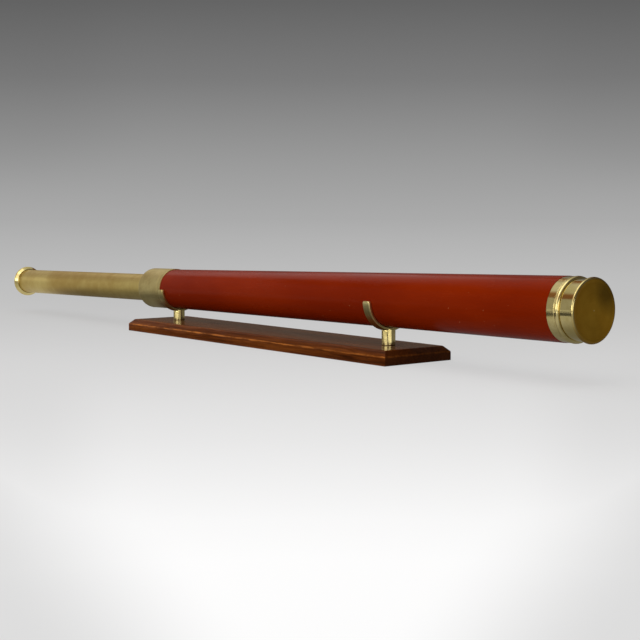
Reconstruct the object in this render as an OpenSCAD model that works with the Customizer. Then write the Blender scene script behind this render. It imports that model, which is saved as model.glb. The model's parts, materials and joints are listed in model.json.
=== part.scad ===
// Refracting telescope with one brass draw, lying in a two-post wooden stand.
// Origin at the middle of the board's underside, +X towards the objective, +Z up.
// Sizes are millimetres and degrees.

/* [Stand board] */
// Length of the board
board_l = 488; // [450:1:560]
// Width of the board
board_w = 89; // [60:1:140]
// Thickness of the board
board_t = 14.5; // [12:0.5:25]
// Width of the bevel round the board's top
bevel_w = 5.8; // [1:0.1:10]
// Height of the bevel round the board's top
bevel_h = 5.6; // [1:0.1:8]

/* [Posts and cradles] */
// Distance of the eyepiece-end post from its end of the board
eyepiece_post_inset = 49.3; // [30:0.1:70]
// Distance of the objective-end post from its end of the board
objective_post_inset = 44.5; // [30:0.1:70]
// Height of the barrel's cradle above the board at the eyepiece end
eyepiece_post_h = 13.9; // [13:0.1:40]
// Height of the barrel's cradle above the board at the objective end
objective_post_h = 17.8; // [13:0.1:40]
// Diameter of the posts
post_d = 14; // [11:0.5:18]
// How far the posts end below the cradles' inner face
post_saddle_drop = 1.5; // [1:0.1:2]
// Chamfer at the foot of the posts
post_foot_chamfer = 0.5; // [0.2:0.1:1]
// Width of the cradle strips
cradle_w = 10; // [7:0.5:11]
// Thickness of the cradle strips
cradle_t = 3.2; // [2.5:0.1:4]
// Rounding of the cradle strips' outer edges
cradle_edge = 1.2; // [0.4:0.1:2]
// Corner cut at the cradles' tips
cradle_tip_cut = 1.4; // [0.4:0.1:2.5]
// Space between the barrel and its cradles
cradle_gap = 0.3; // [0.2:0.05:1]

/* [Stand screws] */
// Diameter of the screws that hold the posts to the board
post_screw_d = 4; // [3:0.5:5]
// Head diameter of the post screws
post_screw_head_d = 8; // [7:0.5:10]
// How far the post screws reach into the posts
post_screw_depth = 5; // [3:0.5:6]
// How deep the post screws' heads lie in the board
post_screw_recess = 0.5; // [0.2:0.1:2]
// Diameter of the screws that hold the cradles to the posts
cradle_screw_d = 2.5; // [2:0.5:3]
// Head diameter of the cradle screws
cradle_screw_head_d = 4.6; // [4:0.2:5]
// How far the cradle screws reach into the posts
cradle_screw_depth = 3.5; // [2:0.5:4]
// Depth of the screwdriver slots
screw_slot_depth = 0.6; // [0.3:0.1:0.8]
// Width of the screwdriver slots
screw_slot_w = 0.7; // [0.5:0.1:1]

/* [Barrel] */
// Length of the barrel between its brass ends
barrel_l = 631; // [600:1:700]
// Diameter of the barrel at the eyepiece end
barrel_rear_d = 48.6; // [47:0.1:54]
// Diameter of the barrel at the objective end
barrel_front_d = 58; // [55:0.1:66]
// Thickness of the barrel's wall
barrel_wall = 3.5; // [2.6:0.1:3.6]
// Length of the barrel's turned-down rear end
rear_tenon_l = 25; // [18:1:30]
// Length of the barrel's turned-down front end
front_tenon_l = 7; // [5:0.5:7.5]
// Distance of the light stop behind the barrel's front end
barrel_stop_back = 150; // [120:1:200]
// Diameter of the opening in the barrel's light stop
barrel_stop_hole_d = 37; // [30:0.5:40]
// Length of the barrel's light stop
barrel_stop_l = 8; // [4:0.5:15]

/* [Rear collar] */
// Length of the ferrule on the barrel's rear end
ferrule_l = 7.5; // [5:0.5:12]
// Length of the ferrule's thread inside the collar
ferrule_thread_l = 15; // [8:1:16]
// Thickness of the ferrule round the barrel's rear end
ferrule_wall = 0.9; // [0.6:0.1:1.2]
// Length of the draw collar
collar_l = 45.5; // [32:0.5:60]
// How far the ferrule and the collar stand out from the barrel
collar_rise = 0.8; // [0.3:0.1:1.5]
// Thickness of the collar's wall
collar_wall = 1.3; // [1:0.1:1.5]
// Thickness of the collar's rear wall
collar_web = 4; // [3:0.5:8]
// Rounding of the collar's rear edge
collar_round = 3; // [1:0.5:4]
// Depth of the groove where the collar meets the ferrule
joint_groove = 0.3; // [0.1:0.1:0.5]
// Length of the guide sleeve in front of its flange
guide_l = 62.5; // [50:0.5:65]
// Thickness of the guide sleeve's wall
guide_wall = 1.4; // [1:0.1:1.8]
// Thickness of the guide sleeve's flange
guide_flange_t = 1.6; // [1:0.1:3]
// How far the guide sleeve's flange stands out round the sleeve
guide_flange_rise = 1.6; // [1:0.1:2.2]
// Space between the cradle and the ferrule's front edge
ferrule_gap = 0.3; // [0.2:0.1:2]

/* [Objective end] */
// Length of the plain band of the objective collar
band_l = 8; // [8:0.5:12]
// How far the band lies below the barrel's surface
band_step = 0.3; // [0:0.1:0.6]
// Thickness of the band's wall
band_wall = 1.3; // [1:0.1:1.4]
// Length of the bead in front of the band
bead_l = 4.6; // [3:0.1:6]
// How far the bead stands out from the band
bead_rise = 0.4; // [0.2:0.1:1]
// Length of the neck that carries the cap
neck_l = 11.8; // [8:0.1:13]
// How far the neck lies below the band
neck_step = 2.8; // [2.2:0.1:3.2]
// Thickness of the neck's wall
neck_wall = 1.2; // [0.8:0.1:2]
// Length of the lens cell
cell_l = 16.4; // [15:0.1:17]
// How far the lens cell ends behind the neck's front edge
cell_setback = 2; // [1:0.1:3]
// Thickness of the lens cell's wall
cell_wall = 1.1; // [0.8:0.1:1.5]
// Thickness of the lens cell's rear lip
cell_lip_t = 2; // [1:0.1:3]
// How far the lens cell's rear lip stands in over the lens
cell_lip_in = 1.2; // [0.6:0.1:2]
// Thickness of the crown lens in the middle
crown_mid_t = 6; // [5:0.1:7]
// Thickness of the flint lens in the middle
flint_mid_t = 3; // [2:0.1:4]
// Radius of curvature of the objective's front face
front_curve = 340; // [250:5:500]
// Radius of curvature where the two lenses meet
inner_curve = 240; // [180:5:320]
// Thickness of the lens retaining ring
retaining_ring_t = 2.5; // [1.5:0.1:3]
// How far the retaining ring stands in over the lens
retaining_ring_in = 1.2; // [0.6:0.1:2]
// Width of the spanner notches in the retaining ring
notch_w = 2; // [1:0.1:3]
// Depth of the spanner notches in the retaining ring
notch_depth = 1; // [0.5:0.1:1.3]

/* [Dust cap] */
// Length of the cap's skirt
cap_skirt_l = 13.4; // [12.8:0.1:20]
// Thickness of the cap's skirt
cap_wall = 0.84; // [0.6:0.02:1.2]
// How far the cap's disc stands out round the skirt
cap_lip = 1.7; // [1:0.1:3]
// Thickness of the cap's disc at the rim
cap_disc_t = 2; // [1.6:0.1:4]
// Depth of the dished face
cap_dish = 0.9; // [0.3:0.1:1.2]
// Width of the flat rim round the dished face
cap_rim_w = 1.3; // [0.5:0.1:4]
// Thickness of the cap in the middle
cap_mid_t = 1.2; // [0.8:0.1:2]
// Space between the cap's skirt and the bead
cap_gap = 0.3; // [0.2:0.05:1]
// Clearance between the cap's skirt and the neck
cap_fit = 0.06; // [0.03:0.01:0.1]

/* [Draw tube] */
// Outer diameter of the draw tube
draw_d = 34.2; // [32:0.1:35]
// Thickness of the draw tube's wall
draw_wall = 1; // [0.8:0.1:1.2]
// How far the draw stands out behind the collar
draw_out = 366.1; // [300:0.1:400]
// Length of the draw tube in front of the collar's rear face
draw_inside = 82.8; // [80:0.1:95]
// Clearance between the draw tube and the guide sleeve
draw_fit = 0.05; // [0.03:0.01:0.1]
// Length of the stop ring on the draw tube's front end
stop_ring_l = 10; // [4:0.5:12]
// Thickness of the stop ring
stop_ring_wall = 1.3; // [0.8:0.1:1.4]

/* [Erector] */
// Length of the erector tube
erector_l = 100; // [70:1:160]
// How far the erector tube lies behind the draw tube's front end
erector_setback = 2; // [1:0.5:20]
// Thickness of the erector tube's wall at its lens seats
erector_wall = 1.1; // [0.8:0.1:1.3]
// Depth of the lens seats in the erector tube's ends
erector_seat_l = 9; // [8:0.5:14]
// Height of the shoulder behind each erector lens
erector_shoulder = 1.3; // [0.8:0.1:2]
// Thickness of the erector lenses in the middle
erector_lens_t = 5; // [4.5:0.1:6]
// Radius of curvature of the erector lenses
erector_curve = 45; // [38:1:80]
// Thickness of the rings that hold the erector lenses
erector_ring_t = 2; // [1.5:0.1:2.5]
// How far those rings stand in over the lenses
erector_ring_in = 2; // [1:0.1:3]
// Thickness of the stop between the erector lenses
erector_stop_t = 1; // [0.6:0.1:2]
// Diameter of the opening in the erector's stop
erector_stop_hole_d = 7; // [4:0.5:12]

/* [Eyepiece] */
// Diameter of the eyepiece cup
cup_d = 43.6; // [41:0.1:48]
// Length of the eyepiece cup behind the draw tube
cup_l = 7.2; // [7:0.1:9]
// Rounding of the cup's front edge
cup_front_round = 1.6; // [0.5:0.1:1.9]
// Rounding of the cup's rear edge
cup_rear_round = 4.8; // [3.5:0.1:5]
// Width of the rim round the recess in the cup's rear face
cup_rim_w = 1.4; // [0.6:0.1:1.5]
// Distance from the cup's front face to the floor of its recess
cup_floor_back = 2; // [1.8:0.1:2.4]
// Thickness of the cup's floor
cup_floor_t = 2.5; // [2:0.1:3]
// Length of the cup's spigot inside the draw tube
cup_spigot_l = 15; // [8:1:25]
// Thickness of the cup's spigot
cup_spigot_wall = 1.15; // [0.8:0.05:1.4]
// Diameter of the eye hole
eye_hole_d = 7; // [5:0.5:8]
// Length of the eyepiece tube
eyepiece_l = 64; // [50:1:90]
// Diameter of the eyepiece tube's bore
eyepiece_bore_d = 23; // [20:0.5:25]
// Diameter of the eye lens
eye_lens_d = 18; // [16:0.5:19]
// Thickness of the eye lens in the middle
eye_lens_t = 3.5; // [3:0.1:4]
// Radius of curvature of the eye lens
eye_curve = 20; // [18:0.5:40]
// Height of the shoulder in front of the eye lens
eye_shoulder = 1; // [0.5:0.1:2]
// Thickness of the ring that holds the eye lens
eye_ring_t = 2; // [1.5:0.1:2.5]
// How far the eye lens ring stands in over the lens
eye_ring_in = 2; // [1:0.1:3]
// Wall of the eyepiece tube round the field lens
field_seat_wall = 1.5; // [1:0.1:1.6]
// Thickness of the field lens in the middle
field_lens_t = 4.5; // [4:0.1:5]
// Radius of curvature of the field lens
field_curve = 40; // [34:1:80]
// Thickness of the ring that holds the field lens
field_ring_t = 2; // [1.5:0.1:2.5]
// How far the field lens ring stands in over the lens
field_ring_in = 1.4; // [0.8:0.1:2]
// Distance of the field stop from the cup's floor
field_stop_at = 24; // [15:1:35]
// Thickness of the field stop
field_stop_t = 1; // [0.6:0.1:2]
// Diameter of the opening in the field stop
field_stop_hole_d = 15; // [10:0.5:18]

/* [Eye shutter] */
// Distance of the shutter's pivot from the telescope's axis
shutter_pivot_r = 9.5; // [9:0.1:10]
// Direction of the pivot round the axis, from straight up towards +Y
shutter_pivot_angle = 0; // [-180:1:180]
// Diameter of the shutter's disc
shutter_d = 10; // [9.5:0.1:10.5]
// Diameter of the shutter's boss round the pivot
shutter_boss_d = 5.6; // [5:0.1:6]
// Thickness of the shutter
shutter_t = 1; // [0.6:0.1:1.4]
// Space between the shutter and the cup's floor
shutter_gap = 0.1; // [0.05:0.01:0.3]
// Diameter of the shutter screw
shutter_screw_d = 2; // [1.6:0.1:2.4]
// Head diameter of the shutter screw
shutter_screw_head_d = 4; // [3.6:0.1:5]
// Height of the shutter screw's head
shutter_screw_head_t = 1; // [0.8:0.1:1.4]
// Depth of the shutter screw in the cup's floor
shutter_screw_depth = 2; // [1:0.1:2]
// Clearance of the shutter round its screw
shutter_fit = 0.05; // [0.03:0.01:0.1]
// Diameter of the shutter's knob
knob_d = 2.6; // [2:0.1:3.5]
// Height of the shutter's knob
knob_h = 2; // [1:0.1:2.5]
// Diameter of the knob's rivet
knob_rivet_d = 1.2; // [0.8:0.1:1.5]
// Distance of the knob from the disc's middle
knob_off = 2.6; // [1:0.1:3]

/* [Hidden] */
$fn = 96;

// Clearance of pieces that are screwed or pushed together for good
fit = 0.05;
// Overshoot of cuts past the faces that they open
cut = 1;
// Length of cuts that run out past everything
far = 200;

brass_colour = [0.66, 0.55, 0.29];
dull_brass_colour = [0.58, 0.50, 0.29];
cap_colour = [0.36, 0.27, 0.10];
barrel_colour = [0.45, 0.13, 0.05];
wood_colour = [0.28, 0.15, 0.08];
steel_colour = [0.55, 0.55, 0.56];
glass_colour = [0.78, 0.88, 0.90];
blackened_colour = [0.10, 0.10, 0.10];

// Barrel radii, with z counted from the shoulder at the barrel's rear end
barrel_rear_r = barrel_rear_d / 2;
barrel_front_r = barrel_front_d / 2;
barrel_taper = (barrel_front_r - barrel_rear_r) / barrel_l;
function barrel_r(z) = barrel_rear_r + barrel_taper * z;
function barrel_bore_r(z) = barrel_r(z) - barrel_wall;

// Places of the posts along the board
eyepiece_post_x = eyepiece_post_inset - board_l / 2;
objective_post_x = board_l / 2 - objective_post_inset;

post_distance = objective_post_x - eyepiece_post_x;

// The barrel's taper and the posts' heights set the slope of the telescope's axis
tilt = atan((objective_post_h - eyepiece_post_h) / post_distance + barrel_taper);

// Stations along the telescope's axis, from the middle of the stand, with the ferrule's
// sloping front edge clear of the cradle down to its lowest point
collar_r = barrel_rear_r + collar_rise;
ferrule_lean = collar_r * max(0, sin(tilt));
barrel_rear_s = (eyepiece_post_x - cradle_w / 2 - ferrule_gap - ferrule_lean) / cos(tilt);
barrel_front_s = barrel_rear_s + barrel_l;
collar_front_s = barrel_rear_s - ferrule_l;
collar_rear_s = collar_front_s - collar_l;
eye_s = collar_rear_s - guide_flange_t - draw_out;

// The cradles carry the barrel, so they set the height of its axis
function cradle_r(x) = barrel_r(x - barrel_rear_s) + cradle_gap;
eyepiece_cradle_r = cradle_r(eyepiece_post_x);
objective_cradle_r = cradle_r(objective_post_x);
eyepiece_axis_z = board_t + eyepiece_post_h + eyepiece_cradle_r;
objective_axis_z = board_t + objective_post_h + objective_cradle_r;
axis_mid_z = eyepiece_axis_z - eyepiece_post_x * tan(tilt);

// Radii at the rear collar
collar_inner_r = collar_r - collar_wall;
ferrule_thread_r = collar_inner_r - fit;
rear_tenon_r = ferrule_thread_r - ferrule_wall - fit;
draw_r = draw_d / 2;
draw_bore_r = draw_r - draw_wall;
guide_bore_r = draw_r + draw_fit;
guide_r = guide_bore_r + guide_wall;
draw_l = draw_out + guide_flange_t + draw_inside;

// Radii at the objective end, from the barrel inwards
band_r = barrel_front_r - band_step;
front_tenon_r = band_r - band_wall - fit;
bead_r = band_r + bead_rise;
neck_r = band_r - neck_step;
neck_bore_r = neck_r - neck_wall;
cell_r = neck_bore_r - fit;
lens_seat_r = cell_r - cell_wall;
lens_r = lens_seat_r - fit;
cap_bore_r = neck_r + cap_fit;
cap_skirt_r = cap_bore_r + cap_wall;
cap_r = cap_skirt_r + cap_lip;

// Heights at the objective end, from the barrel's front shoulder
bead_front_z = band_l + bead_l;
neck_front_z = bead_front_z + neck_l;
cell_rear_z = neck_front_z - cell_setback - cell_l;
flint_rear_z = cell_rear_z + cell_lip_t;
crown_rear_z = flint_rear_z + flint_mid_t + fit;
crown_front_z = crown_rear_z + crown_mid_t;
cap_skirt_z = bead_front_z + cap_gap;
cap_disc_z = cap_skirt_z + cap_skirt_l;
cap_front_z = cap_disc_z + cap_disc_t;

// Radii of the erector and the eyepiece
erector_r = draw_bore_r - fit;
erector_seat_r = erector_r - erector_wall;
erector_lens_r = erector_seat_r - fit;
erector_bore_r = erector_seat_r - erector_shoulder;
cup_r = cup_d / 2;
cup_spigot_r = draw_bore_r - fit;
cup_bore_r = cup_spigot_r - cup_spigot_wall;
cup_web_z = -cup_floor_back + cup_floor_t;
eyepiece_r = cup_bore_r - fit;
eye_lens_r = eye_lens_d / 2;
eye_seat_r = eye_lens_r + fit;
field_seat_r = eyepiece_r - field_seat_wall;
field_lens_r = field_seat_r - fit;

// Layers on the floor of the cup's recess, counted from the cup's front face
shutter_front_z = -cup_floor_back - shutter_gap;
shutter_rear_z = shutter_front_z - shutter_t;

// Depth of a curved lens face at radius r
function sag(curve, r) = curve - sqrt(curve * curve - r * r);

// Radii of the points on a curved lens face, from the axis outwards
function face_radii(r, n = 8) = [for (i = [0 : n]) r * i / n];

// Points of a round corner about a centre in a profile
function corner(c, r, a0, a1, n = 5) =
    [for (i = [0 : n]) c + r * [cos(a0 + (a1 - a0) * i / n), sin(a0 + (a1 - a0) * i / n)]];

// Puts a piece on the telescope's axis at a station, with its own +Z towards the objective
module on_axis(s) {
    translate([0, 0, axis_mid_z]) rotate([0, 90 - tilt, 0]) translate([0, 0, s]) children();
}

// Puts a piece at the shutter's pivot, behind the cup's floor
module at_pivot() {
    on_axis(eye_s) rotate([0, 0, 180 - shutter_pivot_angle]) translate([shutter_pivot_r, 0, 0]) children();
}

// Plain ring standing on z = 0
module ring(outer_r, inner_r, l) {
    rotate_extrude() polygon([[inner_r, 0], [outer_r, 0], [outer_r, l], [inner_r, l]]);
}

// Lens with a flat face at z = 0 and a convex face towards +Z
module plano_convex(r, mid_t, curve) {
    intersection() {
        cylinder(r = r, h = mid_t);
        translate([0, 0, mid_t - curve]) sphere(r = curve);
    }
}

// Countersunk slotted screw, head up, with the top of its head at z = 0
module slotted_screw(d, head_d, l) {
    head_h = (head_d - d) / 2;
    difference() {
        rotate_extrude()
            polygon([[0, 0], [head_d / 2, 0], [d / 2, -head_h], [d / 2, -l], [0, -l]]);
        translate([-head_d, -screw_slot_w / 2, -screw_slot_depth])
            cube([2 * head_d, screw_slot_w, screw_slot_depth + cut]);
    }
}

// Hole for that screw, open upwards
module screw_hole(d, head_d, l) {
    head_h = (head_d - d) / 2;
    rotate_extrude() polygon([
        [0, far], [head_d / 2 + fit, far], [head_d / 2 + fit, 0],
        [d / 2 + fit, -head_h], [d / 2 + fit, -l], [0, -l]
    ]);
}

// Outline of a bevelled bar, size across by board_t high
module bevelled_outline(size) {
    half = size / 2;
    polygon([
        [-half, 0], [half, 0], [half, board_t - bevel_h], [half - bevel_w, board_t],
        [-half + bevel_w, board_t], [-half, board_t - bevel_h]
    ]);
}

module stand_board() {
    color(wood_colour) difference() {
        intersection() {
            translate([-board_l / 2, 0, 0]) rotate([90, 0, 90])
                linear_extrude(board_l) bevelled_outline(board_w);
            translate([0, board_w / 2, 0]) rotate([90, 0, 0])
                linear_extrude(board_w) bevelled_outline(board_l);
        }
        for (x = [eyepiece_post_x, objective_post_x])
            translate([x, 0, post_screw_recess]) rotate([180, 0, 0])
                screw_hole(post_screw_d, post_screw_head_d, board_t + cut);
    }
}

module post_screws() {
    screw_l = board_t - post_screw_recess + post_screw_depth;
    color(steel_colour)
        for (x = [eyepiece_post_x, objective_post_x])
            translate([x, 0, post_screw_recess]) rotate([180, 0, 0])
                slotted_screw(post_screw_d, post_screw_head_d, screw_l);
}

// Turns a piece so that its own Z lies along X and its half turn hangs below the axis
module hang_below(x, axis_z) {
    translate([x, 0, axis_z]) rotate([-90, 0, 0]) rotate([0, 90, 0]) children();
}

// Half ring of strip below the barrel, grown by a margin for the slot that it lies in
module cradle_strip(inner_r, margin = 0) {
    outer_r = inner_r + cradle_t + margin;
    half_w = cradle_w / 2 + margin;
    rotate_extrude(angle = 180) polygon(concat(
        [[inner_r - margin, half_w], [inner_r - margin, -half_w]],
        corner([outer_r - cradle_edge, -half_w + cradle_edge], cradle_edge, -90, 0),
        corner([outer_r - cradle_edge, half_w - cradle_edge], cradle_edge, 0, 90)
    ));
}

// Cradle strip with cut corners at its tips and a screw hole in the middle
module cradle(x, axis_z, inner_r) {
    color(brass_colour) difference() {
        hang_below(x, axis_z) cradle_strip(inner_r);
        for (side = [-1, 1], end = [-1, 1])
            translate([x + end * cradle_w / 2, side * (inner_r + cradle_t / 2), axis_z])
                rotate([0, 45, 0])
                    cube([cradle_tip_cut * sqrt(2), 2 * cradle_t, cradle_tip_cut * sqrt(2)], center = true);
        translate([x, 0, axis_z - inner_r])
            screw_hole(cradle_screw_d, cradle_screw_head_d, cradle_t + cut);
    }
}

// Post with a hollowed top and a slot across it for the cradle
module post(x, axis_z, inner_r) {
    post_r = post_d / 2;
    color(brass_colour) difference() {
        translate([x, 0, board_t]) rotate_extrude() polygon([
            [0, 0], [post_r - post_foot_chamfer, 0], [post_r, post_foot_chamfer],
            [post_r, axis_z - board_t], [0, axis_z - board_t]
        ]);
        translate([x, 0, axis_z]) rotate([0, 90, 0])
            cylinder(r = inner_r + post_saddle_drop, h = post_d + 2 * cut, center = true);
        hang_below(x, axis_z) cradle_strip(inner_r, fit);
        translate([x, 0, board_t - cut])
            cylinder(d = post_screw_d + 2 * fit, h = cut + post_screw_depth + fit);
        translate([x, 0, axis_z - inner_r - cradle_t - cradle_screw_depth - fit])
            cylinder(d = cradle_screw_d + 2 * fit, h = cradle_screw_depth + cradle_t);
    }
}

module eyepiece_post() post(eyepiece_post_x, eyepiece_axis_z, eyepiece_cradle_r);
module objective_post() post(objective_post_x, objective_axis_z, objective_cradle_r);
module eyepiece_cradle() cradle(eyepiece_post_x, eyepiece_axis_z, eyepiece_cradle_r);
module objective_cradle() cradle(objective_post_x, objective_axis_z, objective_cradle_r);

module cradle_screws() {
    color(brass_colour)
        for (p = [[eyepiece_post_x, eyepiece_post_h], [objective_post_x, objective_post_h]])
            translate([p[0], 0, board_t + p[1]])
                slotted_screw(cradle_screw_d, cradle_screw_head_d, cradle_t + cradle_screw_depth);
}

module barrel_tube() {
    rear_z = -rear_tenon_l;
    front_z = barrel_l + front_tenon_l;
    color(barrel_colour) on_axis(barrel_rear_s) rotate_extrude() polygon([
        [barrel_bore_r(rear_z), rear_z], [rear_tenon_r, rear_z], [rear_tenon_r, 0],
        [barrel_rear_r, 0], [barrel_front_r, barrel_l], [front_tenon_r, barrel_l],
        [front_tenon_r, front_z], [barrel_bore_r(front_z), front_z]
    ]);
}

// Ring that fits the barrel's tapered bore, with a thin wall across its rear end
module barrel_light_stop() {
    rear_z = barrel_l - barrel_stop_back;
    front_z = rear_z + barrel_stop_l;
    stop_wall = 1;
    color(blackened_colour) on_axis(barrel_rear_s) rotate_extrude() polygon([
        [barrel_stop_hole_d / 2, rear_z], [barrel_bore_r(rear_z) - fit, rear_z],
        [barrel_bore_r(front_z) - fit, front_z], [barrel_bore_r(front_z) - fit - stop_wall, front_z],
        [barrel_bore_r(rear_z) - fit - stop_wall, rear_z + stop_wall],
        [barrel_stop_hole_d / 2, rear_z + stop_wall]
    ]);
}

module rear_ferrule() {
    thread_z = -ferrule_l - ferrule_thread_l;
    bore_r = rear_tenon_r + fit;
    color(dull_brass_colour) on_axis(barrel_rear_s) rotate_extrude() polygon([
        [bore_r, 0], [collar_r - joint_groove, 0], [collar_r, -joint_groove],
        [collar_r, -ferrule_l + joint_groove], [collar_r - joint_groove, -ferrule_l],
        [ferrule_thread_r, -ferrule_l], [ferrule_thread_r, thread_z], [bore_r, thread_z]
    ]);
}

module draw_collar() {
    hole_r = guide_r + fit;
    color(dull_brass_colour) on_axis(collar_front_s) rotate_extrude() polygon(concat(
        [[collar_inner_r, 0], [collar_r - joint_groove, 0], [collar_r, -joint_groove]],
        corner([collar_r - collar_round, collar_round - collar_l], collar_round, 0, -90, 8),
        [[hole_r, -collar_l], [hole_r, collar_web - collar_l], [collar_inner_r, collar_web - collar_l]]
    ));
}

// Sleeve that guides the draw tube, with a round-edged flange on the collar's rear face
module guide_sleeve() {
    edge_r = guide_flange_t / 2;
    flange_r = guide_r + guide_flange_rise;
    color(dull_brass_colour) on_axis(collar_rear_s) rotate_extrude() polygon(concat(
        [[guide_bore_r, -guide_flange_t]],
        corner([flange_r - edge_r, -edge_r], edge_r, -90, 90, 8),
        [[guide_r, 0], [guide_r, guide_l], [guide_bore_r, guide_l]]
    ));
}

// Band over the barrel's front end, a round bead, and the neck that carries lens cell and cap
module objective_collar() {
    bead_edge = bead_l / 2;
    bead_start = -acos(1 - (bead_rise + joint_groove) / bead_edge);
    web_z = front_tenon_l + fit;
    color(brass_colour) on_axis(barrel_front_s) rotate_extrude() polygon(concat(
        [[front_tenon_r + fit, 0], [band_r, 0], [band_r, band_l - joint_groove],
         [band_r - joint_groove, band_l]],
        corner([bead_r - bead_edge, bead_front_z - bead_edge], bead_edge, bead_start, 90, 8),
        [[neck_r, bead_front_z], [neck_r, neck_front_z], [neck_bore_r, neck_front_z],
         [neck_bore_r, web_z], [front_tenon_r + fit, web_z]]
    ));
}

module objective_cell() {
    lip_r = lens_seat_r - cell_lip_in;
    front_z = cell_rear_z + cell_l;
    color(blackened_colour) on_axis(barrel_front_s) rotate_extrude() polygon([
        [lip_r, cell_rear_z], [cell_r, cell_rear_z], [cell_r, front_z],
        [lens_seat_r, front_z], [lens_seat_r, flint_rear_z], [lip_r, flint_rear_z]
    ]);
}

// Flat at the back, hollow in front
module flint_lens() {
    color(glass_colour) on_axis(barrel_front_s + flint_rear_z) rotate_extrude() polygon(concat(
        [for (r = face_radii(lens_r)) [r, flint_mid_t + sag(inner_curve, r)]],
        [[lens_r, 0], [0, 0]]
    ));
}

// Convex on both faces
module crown_lens() {
    radii = face_radii(lens_r);
    last = len(radii) - 1;
    color(glass_colour) on_axis(barrel_front_s + crown_rear_z) rotate_extrude() polygon(concat(
        [for (r = radii) [r, sag(inner_curve, r)]],
        [for (i = [last : -1 : 0]) [radii[i], crown_mid_t - sag(front_curve, radii[i])]]
    ));
}

// Screwed ring in front of the objective, with two notches for a spanner
module lens_retaining_ring() {
    hole_r = lens_r - retaining_ring_in;
    seat_z = crown_front_z - sag(front_curve, hole_r) + fit;
    color(brass_colour) on_axis(barrel_front_s + seat_z) difference() {
        ring(lens_r, hole_r, retaining_ring_t);
        translate([-notch_w / 2, -far / 2, retaining_ring_t - notch_depth])
            cube([notch_w, far, notch_depth + cut]);
    }
}

// Slip-on cap with a round-edged disc and a dished face
module dust_cap() {
    edge_r = cap_disc_t / 2;
    inner_z = cap_front_z - cap_dish - cap_mid_t;
    dish_r = cap_r - edge_r - cap_rim_w;
    dish_curve = (dish_r * dish_r + cap_dish * cap_dish) / (2 * cap_dish);
    color(cap_colour) on_axis(barrel_front_s) rotate_extrude() polygon(concat(
        [for (r = face_radii(dish_r)) [r, cap_front_z - cap_dish + sag(dish_curve, r)]],
        corner([cap_r - edge_r, cap_disc_z + edge_r], edge_r, 90, -90, 8),
        [[cap_skirt_r, cap_disc_z], [cap_skirt_r, cap_skirt_z], [cap_bore_r, cap_skirt_z],
         [cap_bore_r, inner_z], [0, inner_z]]
    ));
}

module draw_tube() {
    color(dull_brass_colour) on_axis(eye_s) ring(draw_r, draw_bore_r, draw_l);
}

// Ring pushed onto the draw tube's front end, which stops against the guide sleeve
module draw_stop_ring() {
    bore_r = draw_r + fit / 2;
    color(dull_brass_colour) on_axis(eye_s + draw_l - stop_ring_l)
        ring(bore_r + stop_ring_wall, bore_r, stop_ring_l);
}

erector_s = eye_s + draw_l - erector_setback - erector_l;

module erector_tube() {
    color(blackened_colour) on_axis(erector_s) rotate_extrude() polygon([
        [erector_r, 0], [erector_r, erector_l], [erector_seat_r, erector_l],
        [erector_seat_r, erector_l - erector_seat_l], [erector_bore_r, erector_l - erector_seat_l],
        [erector_bore_r, erector_seat_l], [erector_seat_r, erector_seat_l], [erector_seat_r, 0]
    ]);
}

// Places a piece against the shoulder of each lens seat of the erector, facing outwards
module at_erector_seats() {
    on_axis(erector_s + erector_l - erector_seat_l) children();
    on_axis(erector_s + erector_seat_l) rotate([180, 0, 0]) children();
}

module erector_lenses() {
    color(glass_colour) at_erector_seats() plano_convex(erector_lens_r, erector_lens_t, erector_curve);
}

module erector_lens_rings() {
    hole_r = erector_lens_r - erector_ring_in;
    seat_z = erector_lens_t - sag(erector_curve, hole_r) + fit;
    color(blackened_colour) at_erector_seats() translate([0, 0, seat_z])
        ring(erector_lens_r, hole_r, erector_ring_t);
}

module erector_stop() {
    color(blackened_colour) on_axis(erector_s + (erector_l - erector_stop_t) / 2)
        ring(erector_bore_r - fit, erector_stop_hole_d / 2, erector_stop_t);
}

// Round-backed cup with a spigot in the draw tube, and an eye hole in the floor of its recess
module eyepiece_cup() {
    recess_r = cup_r - cup_rear_round - cup_rim_w;
    color(brass_colour) difference() {
        on_axis(eye_s) rotate_extrude() polygon(concat(
            [[cup_bore_r, cup_spigot_l], [cup_bore_r, cup_web_z], [eye_hole_d / 2, cup_web_z],
             [eye_hole_d / 2, -cup_floor_back], [recess_r, -cup_floor_back], [recess_r, -cup_l]],
            corner([cup_r - cup_rear_round, cup_rear_round - cup_l], cup_rear_round, -90, 0, 8),
            corner([cup_r - cup_front_round, -cup_front_round], cup_front_round, 0, 90),
            [[cup_spigot_r, 0], [cup_spigot_r, cup_spigot_l]]
        ));
        at_pivot() translate([0, 0, -cup_floor_back - cut])
            cylinder(d = shutter_screw_d + 2 * fit, h = cut + shutter_screw_depth + fit);
    }
}

eyepiece_s = eye_s + cup_web_z;
eye_seat_l = eye_ring_t + fit + eye_lens_t;
field_seat_l = field_ring_t + fit + field_lens_t;

module eyepiece_tube() {
    bore_r = eyepiece_bore_d / 2;
    color(blackened_colour) on_axis(eyepiece_s) rotate_extrude() polygon([
        [eye_seat_r, 0], [eyepiece_r, 0], [eyepiece_r, eyepiece_l], [field_seat_r, eyepiece_l],
        [field_seat_r, eyepiece_l - field_seat_l], [bore_r, eyepiece_l - field_seat_l],
        [bore_r, eye_seat_l + eye_shoulder], [eye_lens_r - eye_shoulder, eye_seat_l + eye_shoulder],
        [eye_lens_r - eye_shoulder, eye_seat_l], [eye_seat_r, eye_seat_l]
    ]);
}

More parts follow.
